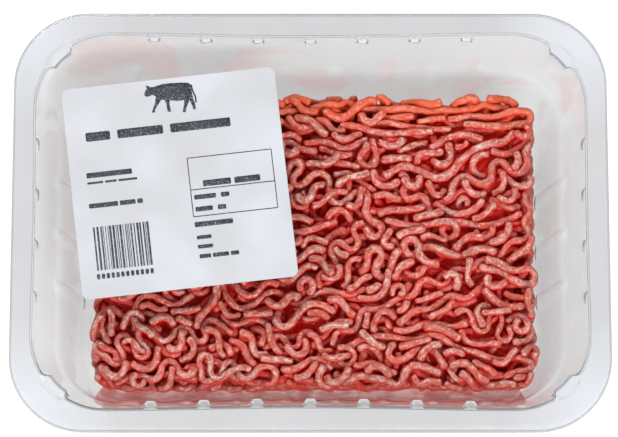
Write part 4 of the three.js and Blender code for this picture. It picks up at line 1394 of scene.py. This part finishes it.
def make_core(mat):
    """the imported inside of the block, seen only through the gaps"""
    rings = []
    n_c, n_l, n_s = 8, 60, 36

    def line(inset, z):
        lean = float(lean_at(z))
        a, b, r = MEAT_A - inset, MEAT_B - inset - lean / 2, 7.0
        pts = []
        for q, (sx, sy) in enumerate(((1, 1), (-1, 1), (-1, -1), (1, -1))):
            w = (q + np.arange(n_c + 1) / n_c) * math.pi / 2
            pts.append(np.stack([sx * (a - r) + r * np.cos(w), sy * (b - r) + r * np.sin(w)], 1))
            n = n_l if q % 2 == 0 else n_s
            t = 1 - 2 * np.arange(1, n) / n
            pts.append(np.stack([sx * t * (a - r), np.full(n - 1, sy * b)], 1) if q % 2 == 0 else np.stack([np.full(n - 1, sx * a), sy * t * (b - r)], 1))
        p = np.concatenate(pts) + MEAT_CENTRE + np.array([0.0, lean / 2])
        return np.column_stack([p, np.full(len(p), z)])
    top = MEAT_TOP - 6.8
    for inset, z in ((10.5, FLOOR_Z + 0.9), (8.0, FLOOR_Z + 1.6), (7.0, 4), (6.8, 8), (6.7, 12), (6.6, 16), (6.5, 20), (6.5, 24), (6.8, 28), (8.0, top - 1.5), (10.0, top), (13, top), (17, top), (22, top), (27, top), (32, top), (36, top)):
        rings.append(line(inset, z))
    V = np.concatenate(rings)
    x, y, z = V.T
    lump = np.sin(1.1 * x + 0.7 * np.sin(0.6 * y)) * np.cos(1.3 * y + 0.9 * z) + 0.6 * np.sin(0.5 * x - 0.8 * y + 0.7 * z)
    roof = ease((z - 6) / 20)
    g = outline(V[:, :2], 0.0)[1]
    V = V + np.column_stack([g * (lump * 0.5)[:, None] * ease((z - 1) / 3)[:, None], lump * 0.7 * roof])
    n = len(rings[0])
    m = len(rings)
    i = np.arange(n)
    j = (i + 1) % n
    Q = [np.stack([k * n + i, k * n + j, (k + 1) * n + j, (k + 1) * n + i], 1) for k in range(m - 1)]
    V = np.concatenate([V, V[:n].mean(0, keepdims=True), V[-n:].mean(0, keepdims=True)])
    T = [np.stack([j, i, np.full(n, m * n)], 1), np.stack([(m - 1) * n + i, (m - 1) * n + j, np.full(n, m * n + 1)], 1)]
    ob = mesh_from("meat_core", V, np.concatenate(Q), np.concatenate(T), True)
    place(ob, mat, "minced_meat", "minced_meat")
    return ob


def make_meat():
    core = raw_meat("meat_inside", True)
    lean = raw_meat("meat_strand")
    make_core(core)
    make_juice_and_reflection(juice_reflection_shader("juice_and_reflection_film"))
    pile = build(7)
    rng = np.random.default_rng(19)
    parts = seen_parts(pile)
    parts.sort(key=lambda s: float(s[0][:, 0].mean()))
    total = sum(len(p) for p, _ in parts)
    pieces = 3
    groups, at = [[] for _ in range(pieces)], 0
    for p, r in parts:
        groups[min(pieces - 1, int(at * pieces / total))].append((p, r))
        at += len(p)
    for k, g in enumerate(groups):
        ob = strand_mesh("meat_strands_%d" % (k + 1), g, rng)
        place(ob, lean, "minced_meat")


# ------------------------------------------------------------ stage and camera


def make_stage():
    m, nt, out = material("floor_paint")
    co = node(nt, "ShaderNodeTexCoord")
    n1 = node(nt, "ShaderNodeTexNoise", Scale=3.0, Detail=2.0)
    link(nt, co.outputs["Object"], n1.inputs["Vector"])
    p = node(nt, "ShaderNodeBsdfPrincipled", **{"Metallic": 0.0, "Roughness": 0.9, "Specular IOR Level": 0.1})
    link(nt, ramp(nt, n1.outputs["Fac"], [(0.3, (0.20, 0.20, 0.20)), (0.7, (0.22, 0.22, 0.22))]), p.inputs["Base Color"])
    p.inputs["Emission Color"].default_value = (1, 1, 1, 1)
    p.inputs["Emission Strength"].default_value = 0.9
    link(nt, p.outputs["BSDF"], out.inputs["Surface"])
    s = 1500.0
    V = [(x * s, y * s, -0.05) for y in (-1, 1) for x in (-1, 1)]
    ob = mesh_from("floor", V, [(0, 1, 3, 2)], [], False)
    ob.data.materials.append(m)


def lamp(name, at, aim, size, power, colour):
    L = bpy.data.lights.new(name, "AREA")
    L.shape = "RECTANGLE"
    L.size, L.size_y = size
    L.energy = power
    L.color = colour
    ob = bpy.data.objects.new(name, L)
    ob.location = at
    ob.rotation_mode = "QUATERNION"
    ob.rotation_quaternion = (Vector(aim) - Vector(at)).to_track_quat("-Z", "Y")
    bpy.context.scene.collection.objects.link(ob)
    return ob


def make_light():
    w = bpy.data.worlds.new("studio")
    w.use_nodes = True
    nt = w.node_tree
    nt.nodes.clear()
    out = nt.nodes.new("ShaderNodeOutputWorld")
    bg = nt.nodes.new("ShaderNodeBackground")
    co = nt.nodes.new("ShaderNodeTexCoord")
    # bright sides and a dark patch overhead, so the flat film mirrors nothing bright
    dot = nt.nodes.new("ShaderNodeVectorMath")
    dot.operation = "DOT_PRODUCT"
    cap = Vector((0, math.sin(math.radians(10)), math.cos(math.radians(10)))).normalized()
    dot.inputs[1].default_value = cap
    nt.links.new(co.outputs["Generated"], dot.inputs[0])
    c = ramp(nt, dot.outputs["Value"], [(0.0, (0.98, 0.99, 1.0)), (0.72, (0.98, 0.99, 1.0)), (0.90, (0.10, 0.10, 0.105)), (1.0, (0.05, 0.05, 0.055))])
    nt.links.new(c, bg.inputs["Color"])
    bg.inputs["Strength"].default_value = 1.0
    nt.links.new(bg.outputs["Background"], out.inputs["Surface"])
    bpy.context.scene.world = w
    lamp("key", (-0.35, 0.95, 1.15), (0, 0, 0.03), (0.50, 0.32), 11.7, (1.0, 0.985, 0.96))
    lamp("fill", (0.55, -1.15, 0.95), (0, 0, 0.03), (1.1, 0.6), 23.0, (0.97, 0.98, 1.0))
    lamp("side", (-1.2, -0.25, 0.85), (0, 0, 0.03), (0.7, 0.7), 6.2, (0.95, 0.97, 1.0))


def make_camera():
    cam = bpy.data.cameras.new("camera")
    far, wide = 1.2, 0.1931
    cam.sensor_width = 36.0
    cam.lens = 36.0 * far / wide
    cam.clip_start, cam.clip_end = 0.05, 20.0
    ob = bpy.data.objects.new("camera", cam)
    e = math.radians(75.5)
    aim = Vector((-0.00044, 0.00016, 0.050))
    back = Vector((0, -math.cos(e), math.sin(e)))
    ob.location = aim + back * far
    ob.rotation_mode = "QUATERNION"
    ob.rotation_quaternion = (-back).to_track_quat("-Z", "Y")
    bpy.context.scene.collection.objects.link(ob)
    bpy.context.scene.camera = ob


def settings():
    s = bpy.context.scene
    s.view_settings.view_transform = "Standard"
    s.view_settings.look = "None"
    s.view_settings.exposure = 0.0
    s.view_settings.gamma = 1.0
    c = s.cycles
    c.max_bounces = 14
    c.diffuse_bounces = 4
    c.glossy_bounces = 4
    c.transmission_bounces = 12
    c.transparent_max_bounces = 24
    c.caustics_reflective = False
    c.caustics_refractive = False
    c.sample_clamp_indirect = 6.0


make_camera()
settings()
make_stage()
make_light()
make_tray(clear_sheet("tray_plastic", (0.632, 0.632, 0.636), (0.815, 0.828, 0.826), (0.975, 0.975, 0.977), 1.10, (0.03, 0.07), 0.00003))
make_film(clear_film("film_clear", (0.985, 0.987, 0.99), 0.004))
make_label(paper("label_stock"))
make_print(ink("label_ink"))
make_meat()
